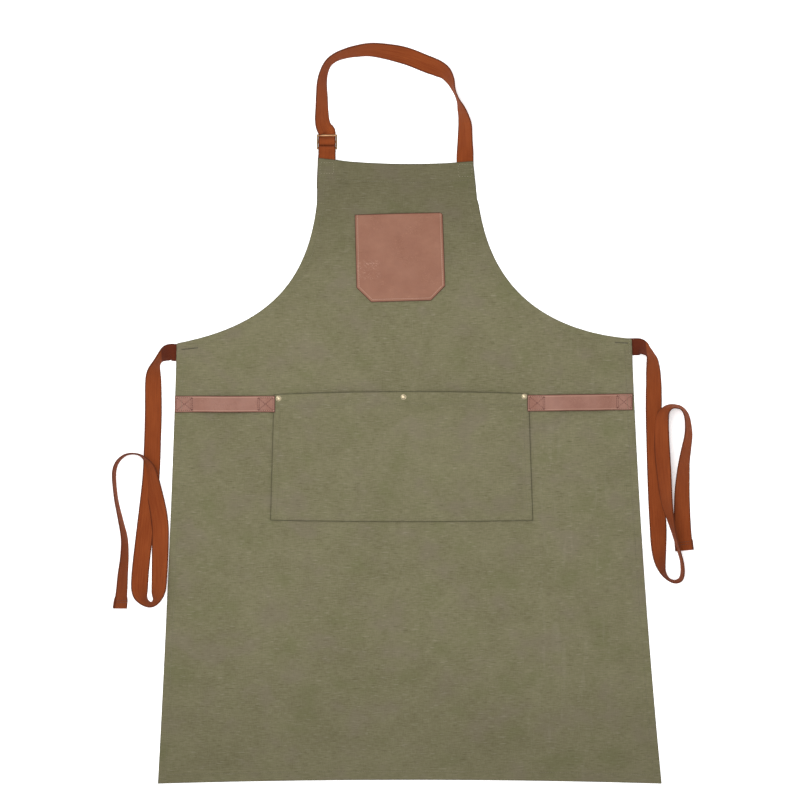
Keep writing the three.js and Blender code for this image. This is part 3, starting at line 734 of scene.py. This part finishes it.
def tri_glide():
    """A flat frame with a middle bar, its edges rounded, turned a little about its bottom bar."""
    half, side, bar, pitch = WEBBING / 2 + GAP, 1.8, 2.4, 9.3
    x_lines = (-half - side, -half, half, half + side)
    y_lines = tuple(value for k in range(3) for value in (k * pitch - bar / 2, k * pitch + bar / 2))
    bm = bmesh.new()
    vertices, x, y = grid_points(bm, x_lines, y_lines)
    put(vertices, np.stack([x, y, np.full(len(x), -bar / 2)], axis=1))
    slots = [f for f in bm.faces if abs(f.calc_center_median().x) < half
             and min(abs(f.calc_center_median().y - k * pitch) for k in range(3)) > bar]
    bmesh.ops.delete(bm, geom=slots, context="FACES_ONLY")
    raised = bmesh.ops.extrude_face_region(bm, geom=list(bm.faces))["geom"]
    bmesh.ops.translate(bm, verts=[g for g in raised if isinstance(g, bmesh.types.BMVert)], vec=(0, 0, bar))
    bmesh.ops.recalc_face_normals(bm, faces=bm.faces)
    sharp = [e for e in bm.edges if len(e.link_faces) == 2 and e.calc_face_angle() > 1]
    bmesh.ops.bevel(bm, geom=sharp, offset=0.75, segments=4, profile=0.5, affect="EDGES", material=-1)
    bmesh.ops.rotate(bm, cent=(0, 0, 0), matrix=Matrix.Rotation(SLIDER_PITCH, 3, "X"), verts=bm.verts)
    bmesh.ops.translate(bm, vec=(LEFT_LEG_X, *BOTTOM_BAR), verts=bm.verts)
    finished(bm, "tri_glide_slider", OLD_BRASS, "slider", ["slider"], sharp=40)


tri_glide()


# ---------------------------------------------------------------- the canvas panel

def quadratic(a, b, c, t):
    """A curve from a to c that bends towards b."""
    t = t[:, None]
    return (1 - t) ** 2 * np.array(a) + 2 * t * (1 - t) * np.array(b) + t ** 2 * np.array(c)


def cubic(a, b, c, d, t):
    """A curve from a to d that sets off towards b and comes in from c."""
    t = t[:, None]
    return ((1 - t) ** 3 * np.array(a) + 3 * t * (1 - t) ** 2 * np.array(b)
            + 3 * t ** 2 * (1 - t) * np.array(c) + t ** 3 * np.array(d))


def straight(a, b, t):
    """A line from a to b."""
    return np.array(a) * (1 - t[:, None]) + np.array(b) * t[:, None]


LEFT_EDGE = (
    lambda t: quadratic((-350.8, HEM_Y), (-334, -209), (-324.5, 97.5), t),
    lambda t: cubic((-324.5, 97.5), (-210, 120.2), (-142.8, 171.1), (-129.3, 293.5), t),
    lambda t: straight((-129.3, 293.5), (-127.9, 355.6), t),
)
RIGHT_EDGE = (
    lambda t: quadratic((350.8, HEM_Y), (321, -209), (309, 104), t),
    lambda t: cubic((309, 104), (97.6, 122), (102, 285.9), (93.8, 297.7), t),
    lambda t: straight((93.8, 297.7), (88.2, 351.4), t),
)
HEM_RISE = 5.2                # the hem rises this much at its middle
BIB_SAG = 5.6                 # the bib's top edge dips this much at its middle
SIDE_HEM = 12.0
BOTTOM_HEM = 14.0
BIB_HEM = 28.0
BIB_HEM_Y = 325.0             # above this the bib's turned hem lies under the canvas
FACING = 11.4                 # width of the armhole facing
SIDE_STITCHES = 9.6           # how far in from the edge each seam is stitched
ARMHOLE_STITCHES = 9.4
HEM_STITCHES = 11.8
BIB_STITCHES = 25.6
EDGES = {"left": LEFT_EDGE, "right": RIGHT_EDGE}


def edge(parts, stage):
    """Places on one side of the outline: skirt to 1, armhole to 2, bib to 3."""
    stage = np.asarray(stage, float)
    part = np.minimum(np.floor(stage).astype(int), 2)
    places = np.zeros((len(stage), 2))
    for k in range(3):
        here = part == k
        if here.any():
            places[here] = parts[k](stage[here] - k)
    return places


def inwards_from(side, stage, step):
    """Places on one side of the outline, and the direction into the cloth at each one."""
    parts = EDGES[side]
    ahead = unit(edge(parts, np.minimum(stage + step, 3)) - edge(parts, np.maximum(stage - step, 0)))
    inward = np.stack([-ahead[:, 1], ahead[:, 0]], axis=1) * (1 if side == "right" else -1)
    return edge(parts, stage), inward


def outline(across, stage):
    """A place on the panel: across from 0 at its left edge to 1, and stage from the hem up."""
    left, right = edge(LEFT_EDGE, stage), edge(RIGHT_EDGE, stage)
    x = left[:, 0] + (right[:, 0] - left[:, 0]) * across
    bow = HEM_RISE * np.maximum(1 - stage, 0) ** 2 - BIB_SAG * np.maximum(stage - 2, 0)
    y = left[:, 1] + (right[:, 1] - left[:, 1]) * across + bow * (1 - (2 * across - 1) ** 2)
    return x, y


# Strap ends under the canvas: middle, half size, height, and how soon the canvas comes down again.
UNDER = (
    (LEFT_LEG_X, 342, 13.5, 20, 3.7, 20), (LEFT_LEG_X, 336, 14, 25, 1.6, 16),
    (RIGHT_LEG_X, 340, 13, 21, 1.8, 11), (-313, 85, 15, 12.5, 1.8, 11), (297, 93, 15, 12.5, 1.8, 11),
)


def raised_by_straps(x, y):
    """How much the strap ends under the canvas lift it at each place."""
    total = np.zeros(len(x))
    for cx, cy, half_x, half_y, height, fade in UNDER:
        out = np.hypot(np.maximum(abs(x - cx) - half_x, 0), np.maximum(abs(y - cy) - half_y, 0))
        total += height * (1 - smooth(0, fade, out))
    return total


def from_line(x, y, line):
    """Distance to a line of points, and how far along it the nearest point is."""
    reach = lengths(line)
    near, where = np.full(len(x), 1e9), np.zeros(len(x))
    for start in range(0, len(x), 4000):
        part = slice(start, start + 4000)
        far = np.hypot(x[part, None] - line[:, 0], y[part, None] - line[:, 1])
        best = far.argmin(axis=1)
        near[part], where[part] = far.min(axis=1), reach[best]
    return near, where


STEPS = np.linspace(0, 1, 240)
FAR = 1e3                     # further than anything on the apron
# Each seam: its edge, the turned or faced width, the layer under it, how far in it is stitched, and the
# lowest and highest places that it reaches.
SEAMS = (
    (edge(LEFT_EDGE, STEPS), SIDE_HEM, TURNED, SIDE_STITCHES, -FAR, 99),
    (edge(RIGHT_EDGE, STEPS), SIDE_HEM, TURNED, SIDE_STITCHES, -FAR, 106),
    (edge(LEFT_EDGE, 1 + 2 * STEPS), FACING, TAPE, ARMHOLE_STITCHES, 98, FAR),
    (edge(RIGHT_EDGE, 1 + 2 * STEPS), FACING, TAPE, ARMHOLE_STITCHES, 105, FAR),
    (np.stack(outline(STEPS, np.zeros(240)), axis=1), BOTTOM_HEM, TURNED, HEM_STITCHES, -FAR, FAR),
    (np.stack(outline(STEPS, np.full(240, 3.0)), axis=1), BIB_HEM, TURNED, BIB_STITCHES, -FAR, FAR),
)


def hemmed(x, y):
    """Height that the turned layers add, the pull of their stitching, and how far in from the rim it is."""
    layer, pull, inwards = np.zeros(len(x)), np.zeros(len(x)), np.full(len(x), FAR)
    for k, (line, width, thick, stitches, lowest, highest) in enumerate(SEAMS):
        near, where = from_line(x, y, line)
        inwards = np.minimum(inwards, near)
        near = np.where((y < lowest) | (y > highest), FAR, near)
        layer = np.maximum(layer, thick * (1 - smooth(width - 0.8, width + 2.4, near)))
        pucker = 0.42 * waves(where, 11, 7.0 * k) + 0.5 * waves(where, 47, 3.1 * k)
        pull += ridge(near - stitches, 7.5) * pucker - 0.22 * ridge(near - stitches, 1.7)
    return layer, pull, inwards


def settled_canvas(nx=64, ny=84):
    """How high the slack canvas stands off the table, from letting it drop and settle there."""
    across, stage = np.meshgrid(np.linspace(0, 1, nx + 1), np.linspace(0, 3, ny + 1))
    x, y = outline(across.ravel(), stage.ravel())
    start = np.full(len(x), 3.0)
    for height, wide, long, seed in ((2.6, 95, 120, 5.0), (1.4, 34, 260, 9.0)):
        spots = zip((x / wide).tolist(), (y / long).tolist())
        start += height * np.array([noise.noise(Vector((a, b, seed))) for a, b in spots])

    bm = bmesh.new()
    vertices, u, v = grid_points(bm, np.linspace(0, 1, nx + 1), np.linspace(0, 3, ny + 1))
    px, py = outline(u, v)
    column = np.rint(u * nx).astype(int)
    row = np.rint(v / 3 * ny).astype(int)
    index = row * (nx + 1) + column
    put(vertices, np.stack([px, py, start[index]], axis=1) * MM)
    mesh = bpy.data.meshes.new("settling_canvas")
    bm.to_mesh(mesh)
    bm.free()
    cloth = bpy.data.objects.new("settling_canvas", mesh)
    bpy.context.scene.collection.objects.link(cloth)
    slack = cloth.vertex_groups.new(name="slack")
    inwards = np.minimum(np.minimum(u, 1 - u) * 650, np.minimum(v, 3 - v) * 204)
    for k, weight in enumerate(smooth(6, 60, inwards).tolist()):
        slack.add([k], weight, "REPLACE")

    table = bpy.data.objects.new("settling_table", bpy.data.meshes["table_top"].copy())
    bpy.context.scene.collection.objects.link(table)
    table.modifiers.new("table", "COLLISION")
    table.collision.thickness_outer = 0.001
    table.collision.cloth_friction = 20
    simulation = cloth.modifiers.new("settle", "CLOTH")
    settings = simulation.settings
    settings.quality = 5
    settings.mass = 0.12
    settings.tension_stiffness = 25
    settings.compression_stiffness = 25
    settings.shear_stiffness = 12
    settings.bending_stiffness = 6
    settings.vertex_group_shrink = "slack"
    settings.shrink_min = 0.0
    settings.shrink_max = -0.004
    simulation.collision_settings.distance_min = 0.001
    simulation.collision_settings.use_self_collision = False
    scene, frames = bpy.context.scene, 26
    simulation.point_cache.frame_start, simulation.point_cache.frame_end = 1, frames
    for frame in range(1, frames + 1):
        scene.frame_set(frame)
    result = cloth.evaluated_get(bpy.context.evaluated_depsgraph_get())
    z = np.array([vertex.co.z for vertex in result.data.vertices]) / MM
    scene.frame_set(1)
    for helper in (cloth, table):
        bpy.data.objects.remove(helper)
    rise = np.zeros((ny + 1) * (nx + 1))
    rise[index] = z
    return np.clip(rise - np.percentile(rise, 4), 0, 4).reshape(ny + 1, nx + 1)


def softened(field, times):
    """A field of heights with its sharpest kinks eased."""
    for _ in range(times):
        wide = np.pad(field, 1, mode="edge")
        field = (4 * field + 2 * (wide[1:-1, :-2] + wide[1:-1, 2:] + wide[:-2, 1:-1] + wide[2:, 1:-1])
                 + wide[:-2, :-2] + wide[:-2, 2:] + wide[2:, :-2] + wide[2:, 2:]) / 16
    return field


SETTLED = softened(settled_canvas(), 3)


def slack_rise(across, stage):
    """The settled height at any place on the panel, smoothly between the places worked out."""
    ny, nx = SETTLED.shape[0] - 1, SETTLED.shape[1] - 1
    a, b = np.clip(across, 0, 1) * nx, np.clip(stage / 3, 0, 1) * ny
    i, j = np.minimum(a.astype(int), nx - 1), np.minimum(b.astype(int), ny - 1)
    s, t = smooth(0, 1, a - i), smooth(0, 1, b - j)
    low = SETTLED[j, i] * (1 - s) + SETTLED[j, i + 1] * s
    high = SETTLED[j + 1, i] * (1 - s) + SETTLED[j + 1, i + 1] * s
    return low * (1 - t) + high * t


def spread(start, end, count):
    """Even steps from start that stop short of end."""
    return np.linspace(start, end, count, endpoint=False)


# Columns close together over the side hems, and rows over the hem, the waist corners and the bib's top.
NEAR_EDGE = np.array([0, 0.8, 2, 4.5, 7.5, 9, 10.2, 11.6, 13, 14.6, 17]) / 660
COLUMNS = np.concatenate([NEAR_EDGE, spread(0.030, 0.970, 166), 1 - NEAR_EDGE[::-1]])
NEAR_HEM = np.array([0, 0.8, 2, 5, 8.5, 10.8, 12, 13.4, 15, 16.8, 19.5]) / 613
ROWS = np.concatenate([
    NEAR_HEM, spread(0.037, 0.96, 128), spread(0.96, 1.08, 22), spread(1.08, 2.0, 62), spread(2.0, 2.5, 10),
    spread(2.5, 2.64, 7), spread(2.64, 2.97, 7), [2.975, 2.99, 3.0],
])


def canvas_panel():
    """The apron's body: one cut of canvas, hemmed at the skirt and the bib, faced at the armholes."""
    def front(across, stage):
        x, y = outline(across, stage)
        layer, pull, inwards = hemmed(x, y)
        rise = slack_rise(across, stage) * (1 - 0.45 * layer)
        z = raised_by_straps(x, y) + CANVAS + layer + np.maximum(rise + pull, -0.1)
        return np.stack([x, y, z], axis=1), inwards

    def back(across, stage, top):
        layer = hemmed(top[:, 0], top[:, 1])[0]
        under = top.copy()
        turned = (stage <= 1.0) | (top[:, 1] > BIB_HEM_Y) | (top[:, 1] < HEM_Y + BOTTOM_HEM)
        under[:, 2] -= CANVAS + np.where(turned, layer, 0)
        return under

    bm = cloth_piece(COLUMNS, ROWS, front, back, rim=0.3)
    surface = Surface()
    surface.add(bm)
    piece = finished(bm, "canvas_panel", KHAKI, "apron", ["body_panel"], sharp=60)
    return surface


TOP = canvas_panel()


def armhole_facing(side, first):
    """The tape sewn behind one armhole."""
    start, end = 0.6, 11.2        # how far in from the edge the tape lies
    here, inward = inwards_from(side, np.linspace(first, 2.5, 90), 0.01)
    lengthwise = np.linspace(0, 1, 90)

    def lower(u, v):
        k = np.rint(v * 89).astype(int)
        x, y = (here[k] + inward[k] * (start + (end - start) * u)[:, None]).T
        z = np.maximum(raised_by_straps(x, y) - 0.35, 0.05)
        return np.stack([x, y, z], axis=1), 11 * np.minimum(u, 1 - u)

    bm = cloth_piece(np.linspace(0, 1, 5), lengthwise, lower, lambda u, v, top: top + [0, 0, 0.5], rim=0.1)
    piece = finished(bm, f"armhole_facing_{side}", KHAKI, "apron", [f"armhole_tape_{side}"], 60)


armhole_facing("left", 1.05)
armhole_facing("right", 1.03)


# ---------------------------------------------------------------- front pocket

POCKET = ((-189.3, 26.5), (165.4, 27.7), (-194, -148.5), (171.4, -148.9))
POCKET_WIDTH, POCKET_HEIGHT = 360.0, 175.0
MOUTH_BOW, LOW_BOW = 3.4, 1.9     # how much the pocket's mouth and its lower edge bow outwards
MOUTH_HEM = 19.0
HIDE_GAP = 0.25               # between a leather piece and the cloth under it


def rim_and_middle(rim, length, *middle):
    """Grid lines from 0 to 1: close together in from both ends, as rim gives in millimetres."""
    rim = np.array(rim) / length
    return np.concatenate([rim, *middle, 1 - rim[::-1]])


def patch(corners, u, v, bow_top=0.0, bow_low=0.0, cut=0.0):
    """A place on a four-sided patch, with bowed ends and cut lower corners, and its sides at that height."""
    top_left, top_right, low_left, low_right = corners
    height = top_left[1] - low_left[1]
    chamfer = np.maximum(cut - v * height, 0)
    left = low_left[0] + (top_left[0] - low_left[0]) * v + chamfer
    right = low_right[0] + (top_right[0] - low_right[0]) * v - chamfer
    arch = 1 - (2 * u - 1) ** 2
    low = low_left[1] + (low_right[1] - low_left[1]) * u - bow_low * arch
    high = top_left[1] + (top_right[1] - top_left[1]) * u + bow_top * arch
    return left + (right - left) * u, low + (high - low) * v, left, right


def front_pocket():
    """The wide pocket, hemmed at its mouth, turned in along its other sides and held at a middle rivet."""
    rim = np.array([0, 0.8, 2.2, 4.5, 7, 9, 10.5, 12.5, 15])
    columns = rim_and_middle(rim, POCKET_WIDTH, spread(0.05, 0.95, 120))
    rows = np.concatenate([rim / POCKET_HEIGHT, spread(0.095, 0.87, 52), spread(0.87, 0.91, 8),
                           spread(0.91, 0.985, 5), [0.985, 0.993, 1.0]])

    def turned_in(near, from_top):
        hem = smooth(MOUTH_HEM - 1, MOUTH_HEM + 1.6, from_top)
        return np.maximum(1 - smooth(8.6, 10.8, near), 1 - hem)

    def front(u, v):
        x, y, left, right = patch(POCKET, u, v, MOUTH_BOW, LOW_BOW)
        from_side, from_low = np.minimum(x - left, right - x), v * POCKET_HEIGHT
        near, from_top = np.minimum(from_side, from_low), (1 - v) * POCKET_HEIGHT
        held = smooth(8, 40, np.hypot(x - RIVETS[1][0], (y - RIVETS[1][1]) / 1.6))
        slack = 3.6 * smooth(9, 44, from_side) * smooth(6, 60, from_low) * held
        slack *= 1 + 0.35 * waves(x + 0.4 * y, 62, 21.0)
        groove = ridge(near - 2.4, 1.2) + ridge(from_top - MOUTH_HEM + 2, 1.3)
        pucker = ridge(near, 8) * waves(x + y, 12, 14.0) + ridge(from_top, 15) * waves(x, 16, 15.0)
        below = TOP.heights(np.stack([x, y], axis=1), 2.0) + GAP
        z = below + CANVAS + 0.7 * turned_in(near, from_top) + slack - 0.18 * groove + 0.3 * pucker
        return np.stack([x, y, z], axis=1), np.minimum(near, from_top)

    def back(u, v, top):
        _, _, left, right = patch(POCKET, u, v)
        from_side = np.minimum(top[:, 0] - left, right - top[:, 0])
        near, from_top = np.minimum(from_side, v * POCKET_HEIGHT), (1 - v) * POCKET_HEIGHT
        under = top.copy()
        under[:, 2] -= CANVAS + 0.5 * turned_in(near, from_top)
        return under

    bm = cloth_piece(columns, rows, front, back, rim=0.35)
    TOP.add(bm)
    piece = finished(bm, "wide_front_pocket", KHAKI, "apron", ["front_pocket"], sharp=60)


front_pocket()


# ---------------------------------------------------------------- leather

CHEST = ((-76.3, 276.8), (45.5, 279.9), (-73.6, 155.4), (49.8, 157.8))
CHEST_SIZE = 122.0
CUT = 20.0                    # how much is cut off the chest pocket's lower corners
ROUNDED = 5.0                 # radius of its upper right corner
CHEST_LINE = 3.3              # how far in it is stitched


def chest_pocket():
    """The leather chest pocket: open at the top, pressed down along its stitching and slack in its middle."""
    rows = rim_and_middle([0, 0.5, 1.4, 2.6, 3.8, 5.2, 7], CHEST_SIZE, spread(0.08, 0.155, 5),
                          spread(0.155, 0.18, 4), spread(0.18, 0.93, 36))
    columns = rim_and_middle([0, 0.5, 1.4, 2.6, 3.8, 5.2, 7], CHEST_SIZE, spread(0.08, 0.92, 44))

    def front(u, v):
        x, y, left, right = patch(CHEST, u, v, cut=CUT)
        past_x = np.maximum(x - (right - ROUNDED), 0)
        past_y = np.maximum((v - 1) * CHEST_SIZE + ROUNDED, 0)
        out = np.hypot(past_x, past_y)
        beyond = 1 - np.where(out > ROUNDED, ROUNDED / np.maximum(out, 1e-6), 1)
        x, y = x - past_x * beyond, y - past_y * beyond
        from_side, from_low = np.minimum(x - left, right - x), v * CHEST_SIZE
        slack = 2.6 * smooth(8, 42, from_side) * smooth(6, 60, from_low)
        sewn = np.minimum(from_side * np.where(from_low < CUT, 0.71, 1), from_low)
        from_rim = np.minimum(sewn, (1 - v) * CHEST_SIZE)
        groove = 0.28 * ridge(sewn - CHEST_LINE, 0.8)
        edge_roll = 0.45 * (1 - smooth(0, 1.6, from_rim))
        dents = 0.35 * waves(x + 0.7 * y, 24, 30.0) + 0.25 * waves(x - y, 17, 31.0)
        below = TOP.heights(np.stack([x, y], axis=1), 2.0) + HIDE_GAP
        z = below + LEATHER + slack - groove - edge_roll + dents * smooth(3, 20, sewn)
        return np.stack([x, y, z], axis=1), from_rim, sewn

    bm = cloth_piece(columns, rows, front, lambda u, v, top: top - [0, 0, LEATHER], rim=0.45)
    TOP.add(bm)
    piece = finished(bm, "leather_chest_pocket", POCKET_HIDE, "apron", ["chest_pocket"], sharp=55)


chest_pocket()

BAND_WIDTH = 22.6
BANDS = {"left": ((-327, 13.1), (-187.9, 13.1)), "right": ((164.2, 14.4), (310.4, 16.3))}


def eased(heights, window):
    """Heights that a stiff strip bridges: never below what lies under it, with its steps drawn out."""
    for settle in (np.max, np.mean):
        wide = np.pad(heights, window, mode="edge")
        heights = np.array([settle(wide[k:k + 2 * window + 1]) for k in range(len(heights))])
    return heights


def towel_band(side):
    """A leather band sewn down at both ends, with room for a towel behind its middle."""
    (x0, y0), (x1, y1) = BANDS[side]
    length = x1 - x0
    rim = [0, 0.5, 1.4, 2.6]
    columns = rim_and_middle(rim, length, spread(3.6 / length, 1 - 3.6 / length, 110))
    rows = rim_and_middle(rim, BAND_WIDTH, spread(0.16, 0.84, 10))
    middle = np.stack([x0 + length * columns, y0 + (y1 - y0) * columns], axis=1)
    levels = [TOP.heights(middle + [0, offset], 2.0) for offset in (-10.5, 0, 10.5)]
    slack = 3.2 * smooth(20, 52, length * np.minimum(columns, 1 - columns))
    bed = eased(np.max(levels, axis=0), 4) + slack + HIDE_GAP

    def front(u, v):
        x, y = x0 + length * u, y0 + (y1 - y0) * u + BAND_WIDTH * (v - 0.5)
        from_rim = BAND_WIDTH * np.minimum(v, 1 - v)
        end = length * np.minimum(u, 1 - u)
        y = y + 0.35 * waves(x, 40, 41.0)
        crown = 0.4 * (1 - (2 * v - 1) ** 2) * smooth(22, 45, end)
        edge_roll = 0.5 * (1 - smooth(0, 1.5, np.minimum(from_rim, end)))
        groove = 0.22 * ridge(from_rim - 2.3, 0.7) * (1 - smooth(18, 20, end))
        z = np.interp(x, middle[:, 0], bed) + LEATHER + crown - edge_roll - groove
        return np.stack([x, y, z], axis=1), np.minimum(from_rim, end), from_rim

    bm = cloth_piece(columns, rows, front, lambda u, v, top: top - [0, 0, LEATHER], rim=0.4)
    TOP.add(bm)
    name = f"leather_towel_band_{side}"
    piece = finished(bm, name, BAND_HIDE, "apron", [f"towel_loop_{side}"], sharp=55)


towel_band("left")
towel_band("right")


# ---------------------------------------------------------------- rivets

CAP = 3.8                     # radius of a rivet's domed cap
RIM_TOP = 0.52                # how high the rolled rim round the dome stands
POST = 1.2                    # radius of its post
WASHER = 3.3                  # radius of the flat cap
WASHER_DEPTH = 0.65


def brass_fitting(bm, name, replaced, place):
    """Sets one half of a rivet in its place on the apron."""
    bmesh.ops.translate(bm, verts=bm.verts, vec=place)
    finished(bm, name, PALE_BRASS, "apron", [replaced], sharp=35)


def rivet(side, x, y):
    """A domed cap with a rolled rim on its post, and the flat cap behind the canvas."""
    seat = TOP.height(x, y) - 0.15
    dome = [(0.0, 1.5), (1.0, 1.42), (2.0, 1.2), (2.7, 0.92), (3.15, 0.62), (3.3, 0.5)]
    rolled = [(3.42, RIM_TOP), (3.62, 0.5), (CAP, 0.36), (CAP, 0.1), (CAP - 0.1, 0.0)]
    post = [(POST, 0.0), (POST, 1.0 - seat), (0.0, 1.0 - seat)]
    bm = bmesh.new()
    points = [bm.verts.new((r, 0, z)) for r, z in dome + rolled + post]
    lines = [bm.edges.new(pair) for pair in zip(points, points[1:])]
    bmesh.ops.spin(bm, geom=points + lines, cent=(0, 0, 0), axis=(0, 0, 1), angle=2 * math.pi, steps=40,
                   use_merge=True)
    bmesh.ops.remove_doubles(bm, verts=bm.verts, dist=1e-3)
    bmesh.ops.recalc_face_normals(bm, faces=bm.faces)
    brass_fitting(bm, f"rivet_dome_{side}", f"rivet_cap_{side}", (x, y, seat))

    bm = bmesh.new()
    bmesh.ops.create_cone(bm, cap_ends=True, segments=40, radius1=WASHER, radius2=WASHER, depth=WASHER_DEPTH)
    rims = [e for e in bm.edges if e.calc_face_angle() > 1]
    bmesh.ops.bevel(bm, geom=rims, offset=0.2, segments=3, profile=0.5, affect="EDGES", material=-1)
    brass_fitting(bm, f"rivet_washer_{side}", f"rivet_back_{side}", (x, y, 0.34))


for rivet_side, rivet_place in zip(("left", "middle", "right"), RIVETS):
    rivet(rivet_side, *rivet_place)


# ---------------------------------------------------------------- stitching

POCKET_ROWS = (2.4, 8.0)      # how far in the two rows down each side of the front pocket run
BOX = 9.5                     # half the width of the stitched box that holds a neck strap's end


def inset(side, first, last, distance):
    """A line inside one side of the outline, at that distance from it."""
    here, inward = inwards_from(side, np.linspace(first, last, 200), 0.005)
    return here + inward * distance


def sew_across(bm, x, y, rise):
    """A row of stitches along an edge that runs across the apron, raised or lowered from it."""
    sew(bm, np.stack([x, y + rise], axis=1), TOP)


def sew_through(bm, corners, **thread):
    """Straight rows of stitches from each corner to the next."""
    for start, end in zip(corners, corners[1:]):
        sew(bm, [start, end], TOP, **thread)


def ring(x0, y0, x1, y1):
    """The corners of a box, back to the first."""
    return [(x0, y0), (x1, y0), (x1, y1), (x0, y1), (x0, y0)]


def canvas_seams():
    """Top-stitching of the hems, the armholes and the front pocket."""
    bm = bmesh.new()
    for side in ("left", "right"):
        sew(bm, inset(side, 0.004, 0.985, SIDE_STITCHES), TOP)
        sew(bm, inset(side, 1.03, 2.52, ARMHOLE_STITCHES), TOP)
    sew_across(bm, *outline(np.linspace(0.004, 0.996, 200), np.zeros(200)), HEM_STITCHES)
    sew_across(bm, *outline(np.linspace(0.01, 0.99, 100), np.full(100, 3.0)), -BIB_STITCHES)
    top_left, top_right, low_left, low_right = POCKET
    for gap in POCKET_ROWS:
        for inward, top, low in ((gap, top_left, low_left), (-gap, top_right, low_right)):
            sew_through(bm, [(top[0] + inward, top[1] - 1), (low[0] + inward, low[1] + gap)])
    u = np.linspace(0.006, 0.994, 120)
    for v, rise in ((0, POCKET_ROWS[0]), (1, 2 - MOUTH_HEM)):
        sew_across(bm, *patch(POCKET, u, np.full(120, v), MOUTH_BOW, LOW_BOW)[:2], rise)
    finished(bm, "canvas_stitches", OLIVE_THREAD, "apron")


def strap_seams():
    """The boxes that hold the neck strap and its anchor behind the bib, and the tacks that hold the ties."""
    bm = bmesh.new()
    for cx, low, high in ((LEFT_LEG_X, 334, 349), (RIGHT_LEG_X, 330, 347)):
        sew_through(bm, ring(cx - BOX, low, cx + BOX, high), pitch=3.6, length=2.2, width=0.6)
    sew_through(bm, [(306.4, 82), (306.4, 104)], pitch=3.2, length=2.2, width=0.6)
    finished(bm, "strap_end_stitches", PALE_THREAD, "apron")

    bm = bmesh.new()
    for (x0, y0), (x1, y1) in (((-318, 89), (-295, 91.5)), ((286, 99), (304, 98))):
        for rise in (-0.5, 0.1, 0.7):
            sew_through(bm, [(x0, y0 + rise), (x1, y1 + rise)], pitch=1.7, length=1.6, width=0.7)
    finished(bm, "waist_bartacks", BARTACK_THREAD, "apron")


# Each box that holds a towel band: its outer and inner end along the band, and its middle's height.
BAND_BOXES = ((-325, -302.4, 13.1), (-190.4, -211.7, 13.1), (166.8, 188, 14.6), (308.4, 288.2, 16.1))


def leather_seams():
    """The line round the chest pocket, and the crossed boxes that hold the towel bands."""
    bm = bmesh.new()
    top_left, top_right, low_left, low_right = CHEST
    gap, past = CHEST_LINE, CUT + 1.2
    line = [(top_left[0] + gap, top_left[1] - 1), (low_left[0] + gap, low_left[1] + past),
            (low_left[0] + past, low_left[1] + gap), (low_right[0] - past, low_right[1] + gap),
            (low_right[0] - gap, low_right[1] + past), (top_right[0] - gap, top_right[1] - 4)]
    sew_through(bm, line, pitch=2.9, length=2.4, width=0.75)
    finished(bm, "chest_pocket_stitches", ROSE_THREAD, "apron")

    bm = bmesh.new()
    for outer, inner, y in BAND_BOXES:
        x0, x1 = min(outer, inner), max(outer, inner)
        low, high = y - BAND_WIDTH / 2 + 2.4, y + BAND_WIDTH / 2 - 2.4
        second = inner + math.copysign(2.2, outer - inner)
        box = [(x0, low), (x0, high), (x1, high), (x1, low), (x0, low)]
        cross = [(x0, low), (x1, high)], [(x0, high), (x1, low)]
        for corners in (box, *cross, [(second, low), (second, high)]):
            sew_through(bm, corners, pitch=2.7, length=2.4, width=0.8, proud=0.2)
    finished(bm, "towel_band_stitches", RUST_THREAD, "apron")


canvas_seams()
strap_seams()
leather_seams()
